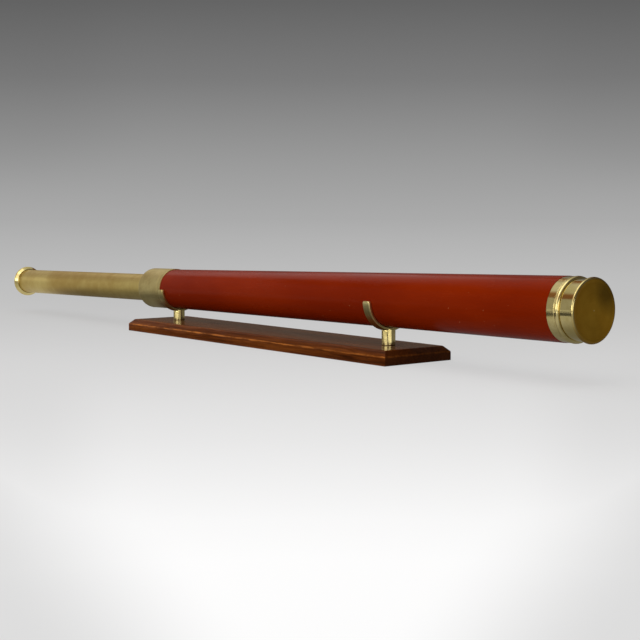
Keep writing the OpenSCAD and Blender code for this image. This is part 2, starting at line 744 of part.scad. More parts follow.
// The eye lens bears with its rim on the shoulder, convex face forwards through it
module eye_lens() {
    rim_t = eye_lens_t - sag(eye_curve, eye_lens_r - eye_shoulder);
    color(glass_colour) on_axis(eyepiece_s + eye_seat_l - rim_t - fit)
        plano_convex(eye_lens_r, eye_lens_t, eye_curve);
}

module eye_lens_ring() {
    rim_t = eye_lens_t - sag(eye_curve, eye_lens_r - eye_shoulder);
    ring_l = eye_seat_l - rim_t - 2 * fit;
    color(blackened_colour) on_axis(eyepiece_s) ring(eye_lens_r, eye_lens_r - eye_ring_in, ring_l);
}

module field_lens() {
    color(glass_colour) on_axis(eyepiece_s + eyepiece_l - field_seat_l)
        plano_convex(field_lens_r, field_lens_t, field_curve);
}

module field_lens_ring() {
    hole_r = field_lens_r - field_ring_in;
    seat_z = field_lens_t - sag(field_curve, hole_r) + fit;
    color(blackened_colour) on_axis(eyepiece_s + eyepiece_l - field_seat_l + seat_z)
        ring(field_lens_r, hole_r, field_ring_t);
}

module field_stop() {
    color(blackened_colour) on_axis(eyepiece_s + field_stop_at)
        ring(eyepiece_bore_d / 2 - fit, field_stop_hole_d / 2, field_stop_t);
}

// Plate that turns on its screw and covers the eye hole
module eye_shutter() {
    color(brass_colour) at_pivot() translate([0, 0, shutter_rear_z]) difference() {
        union() {
            cylinder(d = shutter_boss_d, h = shutter_t);
            translate([-shutter_pivot_r, 0, 0]) cylinder(d = shutter_d, h = shutter_t);
            translate([-shutter_pivot_r, -shutter_boss_d / 2, 0])
                cube([shutter_pivot_r, shutter_boss_d, shutter_t]);
        }
        translate([0, 0, -cut]) cylinder(r = shutter_screw_d / 2 + shutter_fit, h = shutter_t + 2 * cut);
        translate([-shutter_pivot_r - knob_off, 0, -cut])
            cylinder(d = knob_rivet_d + 2 * fit, h = shutter_t + 2 * cut);
    }
}

// Small turned knob on the far side of the shutter's disc
module shutter_knob() {
    knob_edge = knob_d / 5;
    color(brass_colour) at_pivot() translate([-shutter_pivot_r - knob_off, 0, shutter_rear_z])
        rotate([180, 0, 0]) rotate_extrude() polygon(concat(
            [[0, -shutter_t], [knob_rivet_d / 2, -shutter_t], [knob_rivet_d / 2, 0], [knob_d / 2, 0]],
            corner([knob_d / 2 - knob_edge, knob_h - knob_edge], knob_edge, 0, 90, 4),
            [[0, knob_h]]
        ));
}

// Screw that the shutter turns on, with a low slotted head
module shutter_screw() {
    color(steel_colour) at_pivot() translate([0, 0, shutter_rear_z - shutter_gap]) difference() {
        union() {
            translate([0, 0, -shutter_screw_head_t])
                cylinder(d = shutter_screw_head_d, h = shutter_screw_head_t);
            cylinder(d = shutter_screw_d, h = 2 * shutter_gap + shutter_t + shutter_screw_depth);
        }
        translate([-shutter_screw_head_d, -screw_slot_w / 2, -shutter_screw_head_t - cut])
            cube([2 * shutter_screw_head_d, screw_slot_w, cut + screw_slot_depth / 2]);
    }
}

stand_board();
eyepiece_post();
objective_post();
eyepiece_cradle();
objective_cradle();
post_screws();
cradle_screws();
barrel_tube();
barrel_light_stop();
rear_ferrule();
draw_collar();
guide_sleeve();
objective_collar();
objective_cell();
crown_lens();
flint_lens();
lens_retaining_ring();
dust_cap();
draw_tube();
draw_stop_ring();
erector_tube();
erector_lenses();
erector_lens_rings();
erector_stop();
eyepiece_cup();
eyepiece_tube();
eye_lens();
eye_lens_ring();
field_lens();
field_lens_ring();
field_stop();
eye_shutter();
shutter_knob();
shutter_screw();
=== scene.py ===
import json
import math
import bmesh
import bpy
from mathutils import Matrix, Vector, noise


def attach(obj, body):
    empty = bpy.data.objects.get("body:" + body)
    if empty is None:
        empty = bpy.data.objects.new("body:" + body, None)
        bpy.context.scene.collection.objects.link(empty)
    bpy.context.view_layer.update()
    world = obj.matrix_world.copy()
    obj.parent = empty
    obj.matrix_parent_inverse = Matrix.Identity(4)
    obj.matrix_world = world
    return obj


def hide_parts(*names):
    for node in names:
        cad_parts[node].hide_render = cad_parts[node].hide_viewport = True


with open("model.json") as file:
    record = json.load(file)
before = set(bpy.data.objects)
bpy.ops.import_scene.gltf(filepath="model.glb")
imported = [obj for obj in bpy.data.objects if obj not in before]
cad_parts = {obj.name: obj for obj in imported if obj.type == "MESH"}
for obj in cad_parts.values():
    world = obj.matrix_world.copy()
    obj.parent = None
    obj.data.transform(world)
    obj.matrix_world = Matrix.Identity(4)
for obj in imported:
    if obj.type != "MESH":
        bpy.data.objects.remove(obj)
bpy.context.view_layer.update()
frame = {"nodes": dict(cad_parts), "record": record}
mm = 0.001

# slope and height of the telescope's axis, as the stand carries it
axisPlace = {"slope": math.radians(0.993521), "height": 56.41942 * mm}
barrelRear = -200.465  # station of the barrel's rear shoulder, mm
barrelFront = barrelRear + 631
eyeStation = -621.165  # front face of the eyepiece cup
axisTurn = math.pi / 2 - axisPlace["slope"]
axisMatrix = Matrix.Translation((0, 0, axisPlace["height"])) @ Matrix.Rotation(axisTurn, 4, "Y")


# the node tree that is being made; the helpers below add to it
current = {}


def fill(node, inputs):
    for key, value in inputs.items():
        if isinstance(value, bpy.types.NodeSocket):
            current["tree"].links.new(value, node.inputs[key])
        else:
            node.inputs[key].default_value = value


# adds a node, with its settings and with values or links for its inputs
def put(kind, inputs=None, **settings):
    node = current["tree"].nodes.new(kind)
    for key, value in settings.items():
        setattr(node, key, value)
    fill(node, inputs or {})
    return node


# puts a node in and gives its first output
def made(kind, inputs=None, **settings):
    return put(kind, inputs, **settings).outputs[0]


def calc(operation, first, second=0.0):
    return made("ShaderNodeMath", {0: first, 1: second}, operation=operation)


def plus(first, second):
    return calc("ADD", first, second)


def minus(first, second):
    return calc("SUBTRACT", first, second)


def times(first, second):
    return calc("MULTIPLY", first, second)


def over(first, second):
    return calc("DIVIDE", first, second)


def larger(first, second):
    return calc("MAXIMUM", first, second)


def vectorCalc(operation, first, second):
    return made("ShaderNodeVectorMath", {0: first, 1: second}, operation=operation)


def measure(operation, first, second=(0, 0, 0)):
    return put("ShaderNodeVectorMath", {0: first, 1: second}, operation=operation).outputs["Value"]


def vectorOf(*parts):
    return made("ShaderNodeCombineXYZ", dict(enumerate(parts)))


def axesOf(vector):
    return put("ShaderNodeSeparateXYZ", {0: vector}).outputs[:]


def remap(value, low, high, newLow=0.0, newHigh=1.0):
    inputs = {"Value": value, "From Min": low, "From Max": high, "To Min": newLow, "To Max": newHigh}
    return put("ShaderNodeMapRange", inputs, interpolation_type="SMOOTHSTEP").outputs["Result"]


def blend(factor, first, second, way="MIX"):
    ends = [value if isinstance(value, bpy.types.NodeSocket) else (*value, 1) for value in (first, second)]
    inputs = {0: factor, 6: ends[0], 7: ends[1]}
    return put("ShaderNodeMix", inputs, data_type="RGBA", blend_type=way).outputs[2]


def tinted(colour, tint):
    return blend(1.0, colour, tint, "MULTIPLY")


def greyOf(value):
    return vectorOf(value, value, value)


def dimmed(colour, level):
    return tinted(colour, greyOf(level))


def colourRamp(factor, stops):
    node = put("ShaderNodeValToRGB", {"Fac": factor})
    ramp = node.color_ramp
    while len(ramp.elements) < len(stops):
        ramp.elements.new(0.5)
    for element, (place, colour) in zip(ramp.elements, stops):
        element.position = place
        element.color = (*colour, 1)
    return node.outputs["Color"]


def greyRamp(factor, stops):
    return colourRamp(factor, [(place, (level, level, level)) for place, level in stops])


def speckle(vector, scale, detail=3.0, roughness=0.55, shift=0.0):
    place = vectorCalc("ADD", vector, (shift, shift * 0.7, -shift))
    inputs = {"Vector": place, "Scale": scale, "Detail": detail, "Roughness": roughness}
    return put("ShaderNodeTexNoise", inputs).outputs["Fac"]


# a speckle with a scale of its own along each axis
def streaked(vector, scales, detail, roughness, shift=0.0):
    return speckle(vectorCalc("MULTIPLY", vector, scales), 1, detail, roughness, shift)


def stripes(value, scale, detail=4.0, roughness=0.6):
    inputs = {"W": value, "Scale": scale, "Detail": detail, "Roughness": roughness}
    return put("ShaderNodeTexNoise", inputs, noise_dimensions="1D").outputs["Fac"]


def linear(value):
    value = value / 255
    return value / 12.92 if value <= 0.04045 else ((value + 0.055) / 1.055) ** 2.4


def srgb(*levels):
    return tuple(linear(level) for level in levels)


def openTree(owner):
    owner.use_nodes = True
    owner.node_tree.nodes.clear()
    current["tree"] = owner.node_tree


def startMaterial(name):
    material = bpy.data.materials.new(name)
    openTree(material)
    shader = put("ShaderNodeBsdfPrincipled")
    put("ShaderNodeOutputMaterial", {"Surface": shader.outputs["BSDF"]})
    return material, shader


def plainPlace():
    return put("ShaderNodeTexCoord").outputs["Object"]


# the telescope's own coordinates: z runs along its axis, x and y across it
def axisCoordinates():
    inputs = {"Vector": plainPlace(), "Location": (0, 0, axisPlace["height"]), "Rotation": (0, axisTurn, 0)}
    return put("ShaderNodeMapping", inputs, vector_type="TEXTURE").outputs["Vector"]


def paint(shader, colour, roughness, values):
    fill(shader, {"Base Color": colour, "Roughness": roughness, **values})


def setBump(shader, height, distance, strength):
    bump = made("ShaderNodeBump", {"Height": height, "Distance": distance, "Strength": strength})
    fill(shader, {"Normal": bump})


lacquerLook = {
    "colour": srgb(137, 36, 1), "dark": srgb(123, 29, 1), "light": srgb(151, 47, 5),
    "speck": srgb(206, 150, 112), "roughness": 0.24, "gloss": 0.05, "glossTint": srgb(255, 160, 110)}


def makeLacquer():
    look = lacquerLook
    material, shader = startMaterial("barrelLacquer")
    place = axisCoordinates()
    cloud = streaked(place, (16, 16, 7), 3, 0.55)
    streak = streaked(place, (260, 260, 7), 5, 0.65, 3.1)
    dots = speckle(place, 430, 1, 0.3, 7.7)
    colour = blend(remap(cloud, 0.3, 0.68), look["dark"], look["colour"])
    colour = blend(remap(streak, 0.55, 0.85, 0, 0.25), colour, look["light"])
    colour = blend(remap(dots, 0.815, 0.84, 0, 0.7), colour, look["speck"])
    scuff = streaked(place, (60, 60, 14), 6, 0.7, 11.3)
    roughness = remap(scuff, 0.35, 0.8, look["roughness"] - 0.05, look["roughness"] + 0.1)
    paint(shader, colour, roughness, {
        "IOR": 1.5, "Specular IOR Level": look["gloss"], "Specular Tint": (*look["glossTint"], 1)})
    peel = speckle(place, 900, 2, 0.5, 1.9)
    swell = streaked(place, (70, 70, 16), 2, 0.5, 5.5)
    setBump(shader, plus(times(peel, 0.03), times(swell, 0.5)), 0.0004, 0.4)
    return material


# one recipe for every brass surface: a base tone, tarnish, spots, and lines left by the lathe or by use
def makeBrass(name, look):
    material, shader = startMaterial(name)
    place = axisCoordinates() if look.get("turned", True) else plainPlace()
    cloud = speckle(place, look["cloudScale"], 5, 0.62, 2.3)
    fine = speckle(place, look["cloudScale"] * 9, 4, 0.6, 6.1)
    mixed = plus(times(cloud, 0.75), times(fine, 0.25))
    colour = blend(remap(mixed, 0.36, 0.66), look["tarnish"], look["colour"])
    if look.get("streaks"):
        streak = streaked(place, (300, 300, 6), 5, 0.65, 4.4)
        colour = blend(remap(streak, 0.45, 0.8, 0, look["streaks"]), colour, look["tarnish"])
    spots = speckle(place, 260, 2, 0.4, 9.2)
    colour = blend(remap(spots, 0.7, 0.78, 0, look["spots"]), colour, look["spotColour"])
    lines = stripes(axesOf(place)[2], look["lineScale"])
    base = remap(mixed, 0.35, 0.7, look["roughness"] + look["smudge"], look["roughness"])
    paint(shader, colour, plus(base, times(lines, look["lineRough"])), {"Metallic": 1.0})
    scratches = streaked(place, (900, 900, 60), 3, 0.6, 8.8)
    height = plus(times(lines, look["lineHeight"]), times(scratches, look["scratchHeight"]))
    swell = speckle(place, look["cloudScale"], look["swellDetail"], 0.62, 2.3)
    setBump(shader, plus(height, times(swell, look["dent"])), 0.0003, look["bump"])
    return material


polishedLook = {
    "colour": srgb(236, 217, 152), "tarnish": srgb(206, 186, 118), "spotColour": srgb(140, 112, 60),
    "spots": 0.25, "cloudScale": 38, "roughness": 0.06, "smudge": 0.1, "lineScale": 2600, "lineRough": 0.04,
    "lineHeight": 0.008, "scratchHeight": 0.008, "dent": 0.45, "swellDetail": 0.5, "bump": 0.1}
dullLook = {
    "colour": srgb(206, 188, 124), "tarnish": srgb(182, 160, 98), "spotColour": srgb(140, 122, 74),
    "spots": 0.3, "cloudScale": 24, "roughness": 0.38, "smudge": 0.08, "lineScale": 1500, "lineRough": 0.06,
    "lineHeight": 0.12, "scratchHeight": 0.06, "dent": 0.4, "swellDetail": 5, "bump": 0.35}
drawLook = {
    "colour": srgb(210, 187, 108), "tarnish": srgb(184, 152, 72), "spotColour": srgb(140, 116, 62),
    "spots": 0.25, "cloudScale": 9, "roughness": 0.36, "smudge": 0.08, "lineScale": 900, "lineRough": 0.04,
    "lineHeight": 0.05, "scratchHeight": 0.07, "dent": 0.5, "swellDetail": 5, "bump": 0.35, "streaks": 0.25}
standLook = dict(polishedLook, turned=False)
cradleLook = dict(standLook, roughness=0.3, smudge=0.06)
# the fan and rim levels go by the turn round the axis, from 0 to 1: they paint a fan-shaped sheen on the face
# and shade on the rim away from the lit side; lengths are in mm
capLook = {
    "colour": srgb(218, 166, 50), "dark": srgb(196, 142, 32), "rim": srgb(234, 216, 152), "roughness": 0.34,
    "face": 27.0, "faceRadius": 26.7, "sheenRadius": 20, "markRadius": 0.9,
    "fanSheen": [(0.0, 0.86), (0.14, 0.92), (0.25, 1.0), (0.4, 0.94), (0.5, 0.8), (0.6, 0.42), (0.67, 0.42),
            (0.73, 0.72), (0.81, 1.1), (0.87, 1.12), (0.93, 0.92), (1.0, 0.86)],
    "rimPaintedShade": [(0.0, 0.3), (0.1, 0.35), (0.19, 0.85), (0.3, 1.0), (0.45, 0.9), (0.55, 0.45), (0.75, 0.4),
                (0.85, 0.3), (1.0, 0.3)]}


# the cap's dished face is toned, with a painted fan-shaped sheen round its centre; its rim and its skirt are
# polished, the rim with painted shade away from the lit side
def makeCapBronze():
    look = capLook
    material, shader = startMaterial("capBronze")
    place = axisCoordinates()
    x, y, z = axesOf(place)
    radius = measure("LENGTH", vectorOf(x, y))
    faceStart = (barrelFront + look["face"]) * mm
    inside = remap(radius, (look["faceRadius"] + 0.3) * mm, look["faceRadius"] * mm)
    onFace = times(remap(z, faceStart, faceStart + 0.15 * mm), inside)
    rings = stripes(radius, 2600, 5, 0.7)
    broadRings = stripes(radius, 240, 3, 0.6)
    cloud = speckle(place, 45, 5, 0.65, 12.5)
    tone = plus(times(broadRings, 0.3), times(cloud, 0.7))
    faceColour = blend(remap(tone, 0.3, 0.7), look["dark"], look["colour"])
    # the turn round the axis: 0 at the bottom, 0.25 on the side of -y, 0.5 at the top
    turn = calc("ARCTAN2", y, times(x, -1.0))
    turn = plus(over(turn, 2 * math.pi), 0.5)
    # painted sheen: sectors of the face are lightened and darkened by the turn round the axis, in place of
    # the fan of reflections a turned face shows
    sheenedFace = tinted(faceColour, greyRamp(turn, look["fanSheen"]))
    faceColour = blend(remap(radius, 1.5 * mm, look["sheenRadius"] * mm), faceColour, sheenedFace)
    pip = remap(radius, look["markRadius"] * mm, (look["markRadius"] - 0.4) * mm)
    faceColour = blend(times(pip, 0.5), faceColour, look["rim"])
    sideCloud = speckle(place, 40, 5, 0.6, 3.3)
    sideColour = blend(remap(sideCloud, 0.35, 0.7), polishedLook["tarnish"], look["rim"])
    # painted shade: the rim keeps its brightness only on the lit side and is darkened elsewhere round the
    # turn
    nearFace = remap(z, faceStart - 1.6 * mm, faceStart - 0.4 * mm)
    rimPaintedShade = greyRamp(turn, look["rimPaintedShade"])
    rimColour = blend(rimPaintedShade, look["dark"], sideColour)
    rimColour = tinted(rimColour, blend(rimPaintedShade, (0.55, 0.5, 0.45), (1, 1, 1)))
    sideColour = blend(nearFace, sideColour, rimColour)
    colour = blend(onFace, sideColour, faceColour)
    faceRough = plus(look["roughness"], times(rings, 0.06))
    sideRough = remap(sideCloud, 0.35, 0.7, 0.13, 0.06)
    roughness = made("ShaderNodeMix", {0: onFace, 2: sideRough, 3: faceRough}, data_type="FLOAT")
    paint(shader, colour, roughness, {"Metallic": 1.0})
    height = plus(times(rings, 0.25), times(broadRings, 0.2))
    setBump(shader, times(height, onFace), 0.0003, 0.25)
    return material


woodLook = {
    "dark": srgb(48, 20, 6), "mid": srgb(89, 42, 11), "light": srgb(123, 65, 21), "worn": srgb(196, 116, 46),
    "pore": srgb(26, 12, 5), "endGrain": srgb(72, 36, 14), "halfLength": 244 * mm, "halfWidth": 44.5 * mm,
    "bevelFoot": 8.9 * mm, "top": 14.5 * mm, "bevelWidth": 5.8 * mm,
    "roughness": 0.2, "gloss": 0.07, "glossTint": srgb(255, 180, 120), "endShade": 0.75}


def makeWood():
    look = woodLook
    material, shader = startMaterial("darkWood")
    place = plainPlace()
    x, y, z = axesOf(place)
    drift = streaked(place, (7, 18, 18), 2, 0.5, 5.4)
    bent = vectorCalc("ADD", place, vectorOf(0.0, times(drift, 0.012), times(drift, 0.006)))
    warp = streaked(place, (9, 40, 40), 3, 0.5, 4.2)
    grain = streaked(bent, (16, 420, 420), 5, 0.65, 1.3)
    band = streaked(bent, (4, 70, 95), 4, 0.6, 8.4)
    pores = streaked(bent, (95, 2300, 2300), 2, 0.5, 2.9)
    tone = plus(times(grain, 0.45), times(band, 0.35))
    tone = plus(tone, times(warp, 0.2))
    colour = colourRamp(tone, [(0.39, look["dark"]), (0.5, look["mid"]), (0.62, look["light"])])
    poreMask = remap(pores, 0.62, 0.75)
    colour = blend(times(poreMask, 0.7), colour, look["pore"])
    # the ends show end grain, which drinks more stain
    sideX = minus(look["halfLength"], calc("ABSOLUTE", x))
    sideY = minus(look["halfWidth"], calc("ABSOLUTE", y))
    outerPart = remap(sideX, look["bevelWidth"], look["bevelWidth"] - 0.0005)
    onEnd = times(remap(minus(sideY, sideX), 0, 0.0004), outerPart)
    endGrain = streaked(place, (200, 900, 900), 3, 0.6, 7.1)
    endColour = blend(remap(endGrain, 0.3, 0.7), look["dark"], look["endGrain"])
    colour = blend(times(onEnd, look["endShade"]), colour, endColour)
    # wear along the bevel's foot is strong on the long sides; the other edges are only brushed
    here = vectorOf(calc("MINIMUM", sideX, sideY), z)
    rub = streaked(place, (45, 300, 300), 6, 0.72, 6.6)
    patches = streaked(place, (14, 60, 60), 3, 0.6, 9.6)
    wear = None
    ridges = (((0, look["bevelFoot"], 0), 0.0011, 0.85), ((look["bevelWidth"], look["top"], 0), 0.0006, 0.25),
              ((0, 0, 0), 0.0009, 0.4))
    for ridge, reach, amount in ridges:
        away = measure("DISTANCE", here, ridge)
        mask = remap(minus(away, times(rub, reach * 2)), -0.0009, 0.0003, amount, 0)
        wear = mask if wear is None else larger(wear, mask)
    wear = times(wear, remap(patches, 0.3, 0.6, 0.35, 1.0))
    wear = times(wear, remap(rub, 0.4, 0.58, 0.2, 1.0))
    wear = times(wear, remap(onEnd, 0, 1, 1.0, 0.25))
    colour = blend(wear, colour, look["worn"])
    base = remap(grain, 0.3, 0.7, look["roughness"] - 0.04, look["roughness"] + 0.08)
    paint(shader, colour, plus(base, times(wear, 0.2)), {
        "Specular IOR Level": look["gloss"], "Specular Tint": (*look["glossTint"], 1), "Coat Weight": 0.02,
        "Coat Roughness": 0.1})
    setBump(shader, minus(times(grain, 0.3), times(poreMask, 0.5)), 0.0003, 0.3)
    return material


def makeSteel():
    material, shader = startMaterial("screwSteel")
    place = plainPlace()
    cloud = speckle(place, 420, 4, 0.6, 1.7)
    colour = blend(remap(cloud, 0.35, 0.7), srgb(112, 108, 102), srgb(176, 176, 178))
    paint(shader, colour, remap(cloud, 0.3, 0.7, 0.5, 0.28), {"Metallic": 1.0})
    setBump(shader, streaked(place, (3000, 300, 300), 3, 0.6, 3.7), 0.00008, 0.5)
    return material


def makeBlackened():
    material, shader = startMaterial("blackenedBrass")
    place = axisCoordinates()
    cloud = speckle(place, 140, 5, 0.6, 2.1)
    worn = speckle(place, 520, 3, 0.6, 5.3)
    colour = blend(remap(cloud, 0.35, 0.7), srgb(16, 15, 14), srgb(38, 35, 32))
    colour = blend(remap(worn, 0.7, 0.8, 0, 0.5), colour, srgb(96, 78, 44))
    paint(shader, colour, remap(cloud, 0.3, 0.7, 0.62, 0.45), {"Metallic": 0.6})
    setBump(shader, stripes(axesOf(place)[2], 1800), 0.0001, 0.4)
    return material


def makeGlass():
    material, shader = startMaterial("opticalGlass")
    dust = speckle(axisCoordinates(), 900, 4, 0.6, 2.1)
    colour = blend(remap(dust, 0.4, 0.7), srgb(238, 248, 247), srgb(226, 240, 240))
    roughness = remap(dust, 0.62, 0.75, 0.0, 0.12)
    paint(shader, colour, roughness, {"IOR": 1.52, "Transmission Weight": 1.0})
    return material


finishes = {
    "barrel_lacquer": makeLacquer(),
    "polished_brass": makeBrass("polishedBrass", polishedLook),
    "stand_brass": makeBrass("standBrass", standLook),
    "cradle_brass": makeBrass("cradleBrass", cradleLook),
    "dull_brass": makeBrass("dullBrass", dullLook),
    "draw_brass": makeBrass("drawBrass", drawLook),
    "cap_bronze": makeCapBronze(),
    "dark_wood": makeWood(),
    "screw_steel": makeSteel(),
    "blackened_brass": makeBlackened(),
    "optical_glass": makeGlass(),
}
slotOf = {part["node"]: part["material_slot"] for part in frame["record"]["subparts"]}
for nodeName, node in frame["nodes"].items():
    for slot in node.material_slots:
        slot.material = finishes[slotOf[nodeName]]
print("finishes made:", len(finishes))


def startTree(name, sockets):
    tree = bpy.data.node_groups.new(name, "GeometryNodeTree")
    tree.is_modifier = True
    for label, kind in {"Geometry": "Geometry", **sockets, "Material": "Material"}.items():
        tree.interface.new_socket(name=label, in_out="INPUT", socket_type="NodeSocket" + kind)
    tree.interface.new_socket(name="Geometry", in_out="OUTPUT", socket_type="NodeSocketGeometry")
    current["tree"] = tree
    return tree, put("NodeGroupInput").outputs


def endTree(geometry, given):
    solid = made("GeometryNodeRealizeInstances", {"Geometry": geometry})
    painted = made("GeometryNodeSetMaterial", {"Geometry": solid, "Material": given["Material"]})
    put("NodeGroupOutput", {"Geometry": painted})


# turns an outline round the telescope's axis; the outline's x is the radius less 1 m, its y the station
def makeTurningTree():
    tree, given = startTree("turnedPiece", {
        "Steps": "Int", "Waver": "Float", "Waver Scale": "Float", "Place": "Vector", "Turn": "Vector"})
    outline = made("GeometryNodeMeshToCurve", {"Mesh": given["Geometry"]})
    circle = made("GeometryNodeCurvePrimitiveCircle", {"Resolution": given["Steps"], "Radius": 1.0})
    upright = made("GeometryNodeSetCurveNormal", {"Curve": circle}, mode="Z_UP")
    swept = made("GeometryNodeCurveToMesh", {"Curve": upright, "Profile Curve": outline})
    merged = made("GeometryNodeMergeByDistance", {"Geometry": swept, "Distance": 0.000002})
    place = made("GeometryNodeInputPosition")
    wave = put("ShaderNodeTexNoise", {"Vector": place, "Scale": given["Waver Scale"], "Detail": 1.0})
    amount = times(minus(wave.outputs["Fac"], 0.5), given["Waver"])
    normal = made("GeometryNodeInputNormal")
    offset = made("ShaderNodeVectorMath", {0: normal, 3: amount}, operation="SCALE")
    shaped = made("GeometryNodeSetPosition", {"Geometry": merged, "Offset": offset})
    placed = made("GeometryNodeTransform", {
        "Geometry": shaped, "Translation": given["Place"], "Rotation": given["Turn"]})
    smooth = made("GeometryNodeSetShadeSmooth", {"Geometry": placed})
    endTree(smooth, given)
    return tree


# sweeps a section along an arc that hangs below a centre, with its tips cut narrower
def makeStripTree():
    tree, given = startTree("bentStrip", {
        "Radius": "Float", "Steps": "Int", "Half Width": "Float", "Tip Cut": "Float", "Centre": "Vector"})
    section = made("GeometryNodeMeshToCurve", {"Mesh": given["Geometry"]})
    arc = made("GeometryNodeCurveArc", {
        "Resolution": given["Steps"], "Radius": given["Radius"], "Start Angle": math.pi,
        "Sweep Angle": math.pi})
    captured = put("GeometryNodeCaptureAttribute")
    captured.capture_items.new("FLOAT", "run")
    fill(captured, {"Geometry": arc, 1: put("GeometryNodeSplineParameter").outputs["Length"]})
    run = captured.outputs[1]
    upright = made("GeometryNodeSetCurveNormal", {"Curve": captured.outputs["Geometry"]}, mode="Z_UP")
    swept = made("GeometryNodeCurveToMesh", {"Curve": upright, "Profile Curve": section, "Fill Caps": True})
    total = times(given["Radius"], math.pi)
    fromTip = calc("MINIMUM", run, minus(total, run))
    gone = larger(minus(given["Tip Cut"], fromTip), 0.0)
    share = minus(1.0, over(gone, given["Half Width"]))
    x, y, z = axesOf(made("GeometryNodeInputPosition"))
    narrow = vectorOf(x, y, times(z, share))
    cutBack = made("GeometryNodeSetPosition", {"Geometry": swept, "Position": narrow})
    # the arc lies in its own XY plane; it is stood up across the stand
    placed = made("GeometryNodeTransform", {
        "Geometry": cutBack, "Translation": given["Centre"], "Rotation": (math.pi / 2, 0, math.pi / 2)})
    endTree(placed, given)
    return tree


# sets one small piece on every point, each turned a different way
def makeSettingTree():
    tree, given = startTree("piecesOnPoints", {"Piece": "Object", "Seed": "Int", "Flip": "Vector"})
    piece = put("GeometryNodeObjectInfo", {"Object": given["Piece"]}, transform_space="ORIGINAL")
    turn = put("FunctionNodeRandomValue", {"Seed": given["Seed"], 2: 0.0, 3: math.pi}, data_type="FLOAT")
    rotation = vectorCalc("ADD", vectorOf(0.0, 0.0, turn.outputs[1]), given["Flip"])
    onPoints = made("GeometryNodeInstanceOnPoints", {
        "Points": given["Geometry"], "Instance": piece.outputs["Geometry"], "Rotation": rotation})
    endTree(onPoints, given)
    return tree


turningTree = makeTurningTree()
stripTree = makeStripTree()
settingTree = makeSettingTree()
print("trees made")


def runTree(obj, tree, values):
    modifier = obj.modifiers.new(tree.name, "NODES")
    modifier.node_group = tree
    for item in tree.interface.items_tree:
        if item.in_out == "INPUT" and item.name in values:
            modifier[item.identifier] = values[item.name]
    settle(obj)


# replaces an object's mesh by the result of its modifiers
def settle(obj):
    bpy.context.view_layer.update()
    graph = bpy.context.evaluated_depsgraph_get()
    mesh = bpy.data.meshes.new_from_object(obj.evaluated_get(graph), depsgraph=graph)
    obj.modifiers.clear()
    obj.data = mesh
    mesh.name = obj.name


def faceOutwards(obj):
    work = bmesh.new()
    work.from_mesh(obj.data)
    bmesh.ops.recalc_face_normals(work, faces=work.faces)
    work.to_mesh(obj.data)
    work.free()


def newObject(name, mesh):
    obj = bpy.data.objects.new(name, mesh)
    bpy.context.scene.collection.objects.link(obj)
    return obj


def fromPoints(name, points, edges=(), faces=()):
    mesh = bpy.data.meshes.new(name)
    mesh.from_pydata(points, edges, faces)
    return newObject(name, mesh)


def fromBmesh(name, work):
    mesh = bpy.data.meshes.new(name)
    work.to_mesh(mesh)
    work.free()
    return newObject(name, mesh)


def finishPiece(obj, body, replaced):
    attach(obj, body)
    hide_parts(replaced)


# rounds the corners of an outline given as (a, b, radius) in mm, and adds points that keep shading true
def roundedPath(corners, closed=True, step=6.0):
    groups = []
    count = len(corners)
    for index, corner in enumerate(corners):
        here = Vector(corner[:2])
        radius = corner[2] if len(corner) > 2 else 0
        if radius == 0 or (not closed and index in (0, count - 1)):
            groups.append([here])
            continue
        back = Vector(corners[index - 1][:2]) - here
        ahead = Vector(corners[(index + 1) % count][:2]) - here
        angle = back.angle(ahead)
        reach = min(radius / math.tan(angle / 2), 0.48 * back.length, 0.48 * ahead.length)
        radius = reach * math.tan(angle / 2)
        centre = here + (back.normalized() + ahead.normalized()).normalized() * (radius / math.sin(angle / 2))
        first = here + back.normalized() * reach - centre
        last = here + ahead.normalized() * reach - centre
        start = math.atan2(first.y, first.x)
        sweep = math.atan2(last.y, last.x) - start
        sweep = (sweep + math.pi) % (2 * math.pi) - math.pi
        parts = max(3, math.ceil(abs(sweep) / math.radians(15)))
        angles = [start + sweep * k / parts for k in range(parts + 1)]
        groups.append([centre + radius * Vector((math.cos(angle), math.sin(angle))) for angle in angles])
    points = []
    for index, group in enumerate(groups):
        points += group
        if index == count - 1 and not closed:
            break
        start, end = group[-1], groups[(index + 1) % count][0]
        gap = (end - start).length
        if gap < 0.25:
            continue
        guard = min(0.3, gap / 4)
        inner = gap - 2 * guard
        parts = max(1, math.ceil(inner / step))
        places = [guard, *(guard + inner * k / parts for k in range(1, parts)), gap - guard]
        points += [start.lerp(end, place / gap) for place in places]
    return points


# outlines are (station, radius, rounding) in mm; without a body the result is a tool for other pieces
def turnPiece(name, outline, slotName, body=None, replaced=None, closed=True, steps=144, waver=0.0,
              waverScale=30.0, step=6.0, place=(0, 0, axisPlace["height"]), turn=(0, axisTurn, 0)):
    points = roundedPath(outline, closed, step)
    edges = [(k, k + 1) for k in range(len(points) - 1)]
    if closed:
        edges.append((len(points) - 1, 0))
    obj = fromPoints(name, [(point.y * mm - 1, -point.x * mm, 0) for point in points], edges)
    runTree(obj, turningTree, {
        "Steps": steps, "Waver": waver * mm, "Waver Scale": waverScale, "Place": tuple(place),
        "Turn": tuple(turn), "Material": finishes[slotName]})
    faceOutwards(obj)
    if body:
        finishPiece(obj, body, replaced)
    return obj


def breakEdges(obj, width, segments, degrees):
    bevel = obj.modifiers.new("brokenEdges", "BEVEL")
    bevel.width = width * mm
    bevel.segments = segments
    bevel.limit_method = "ANGLE"
    bevel.angle_limit = math.radians(degrees)


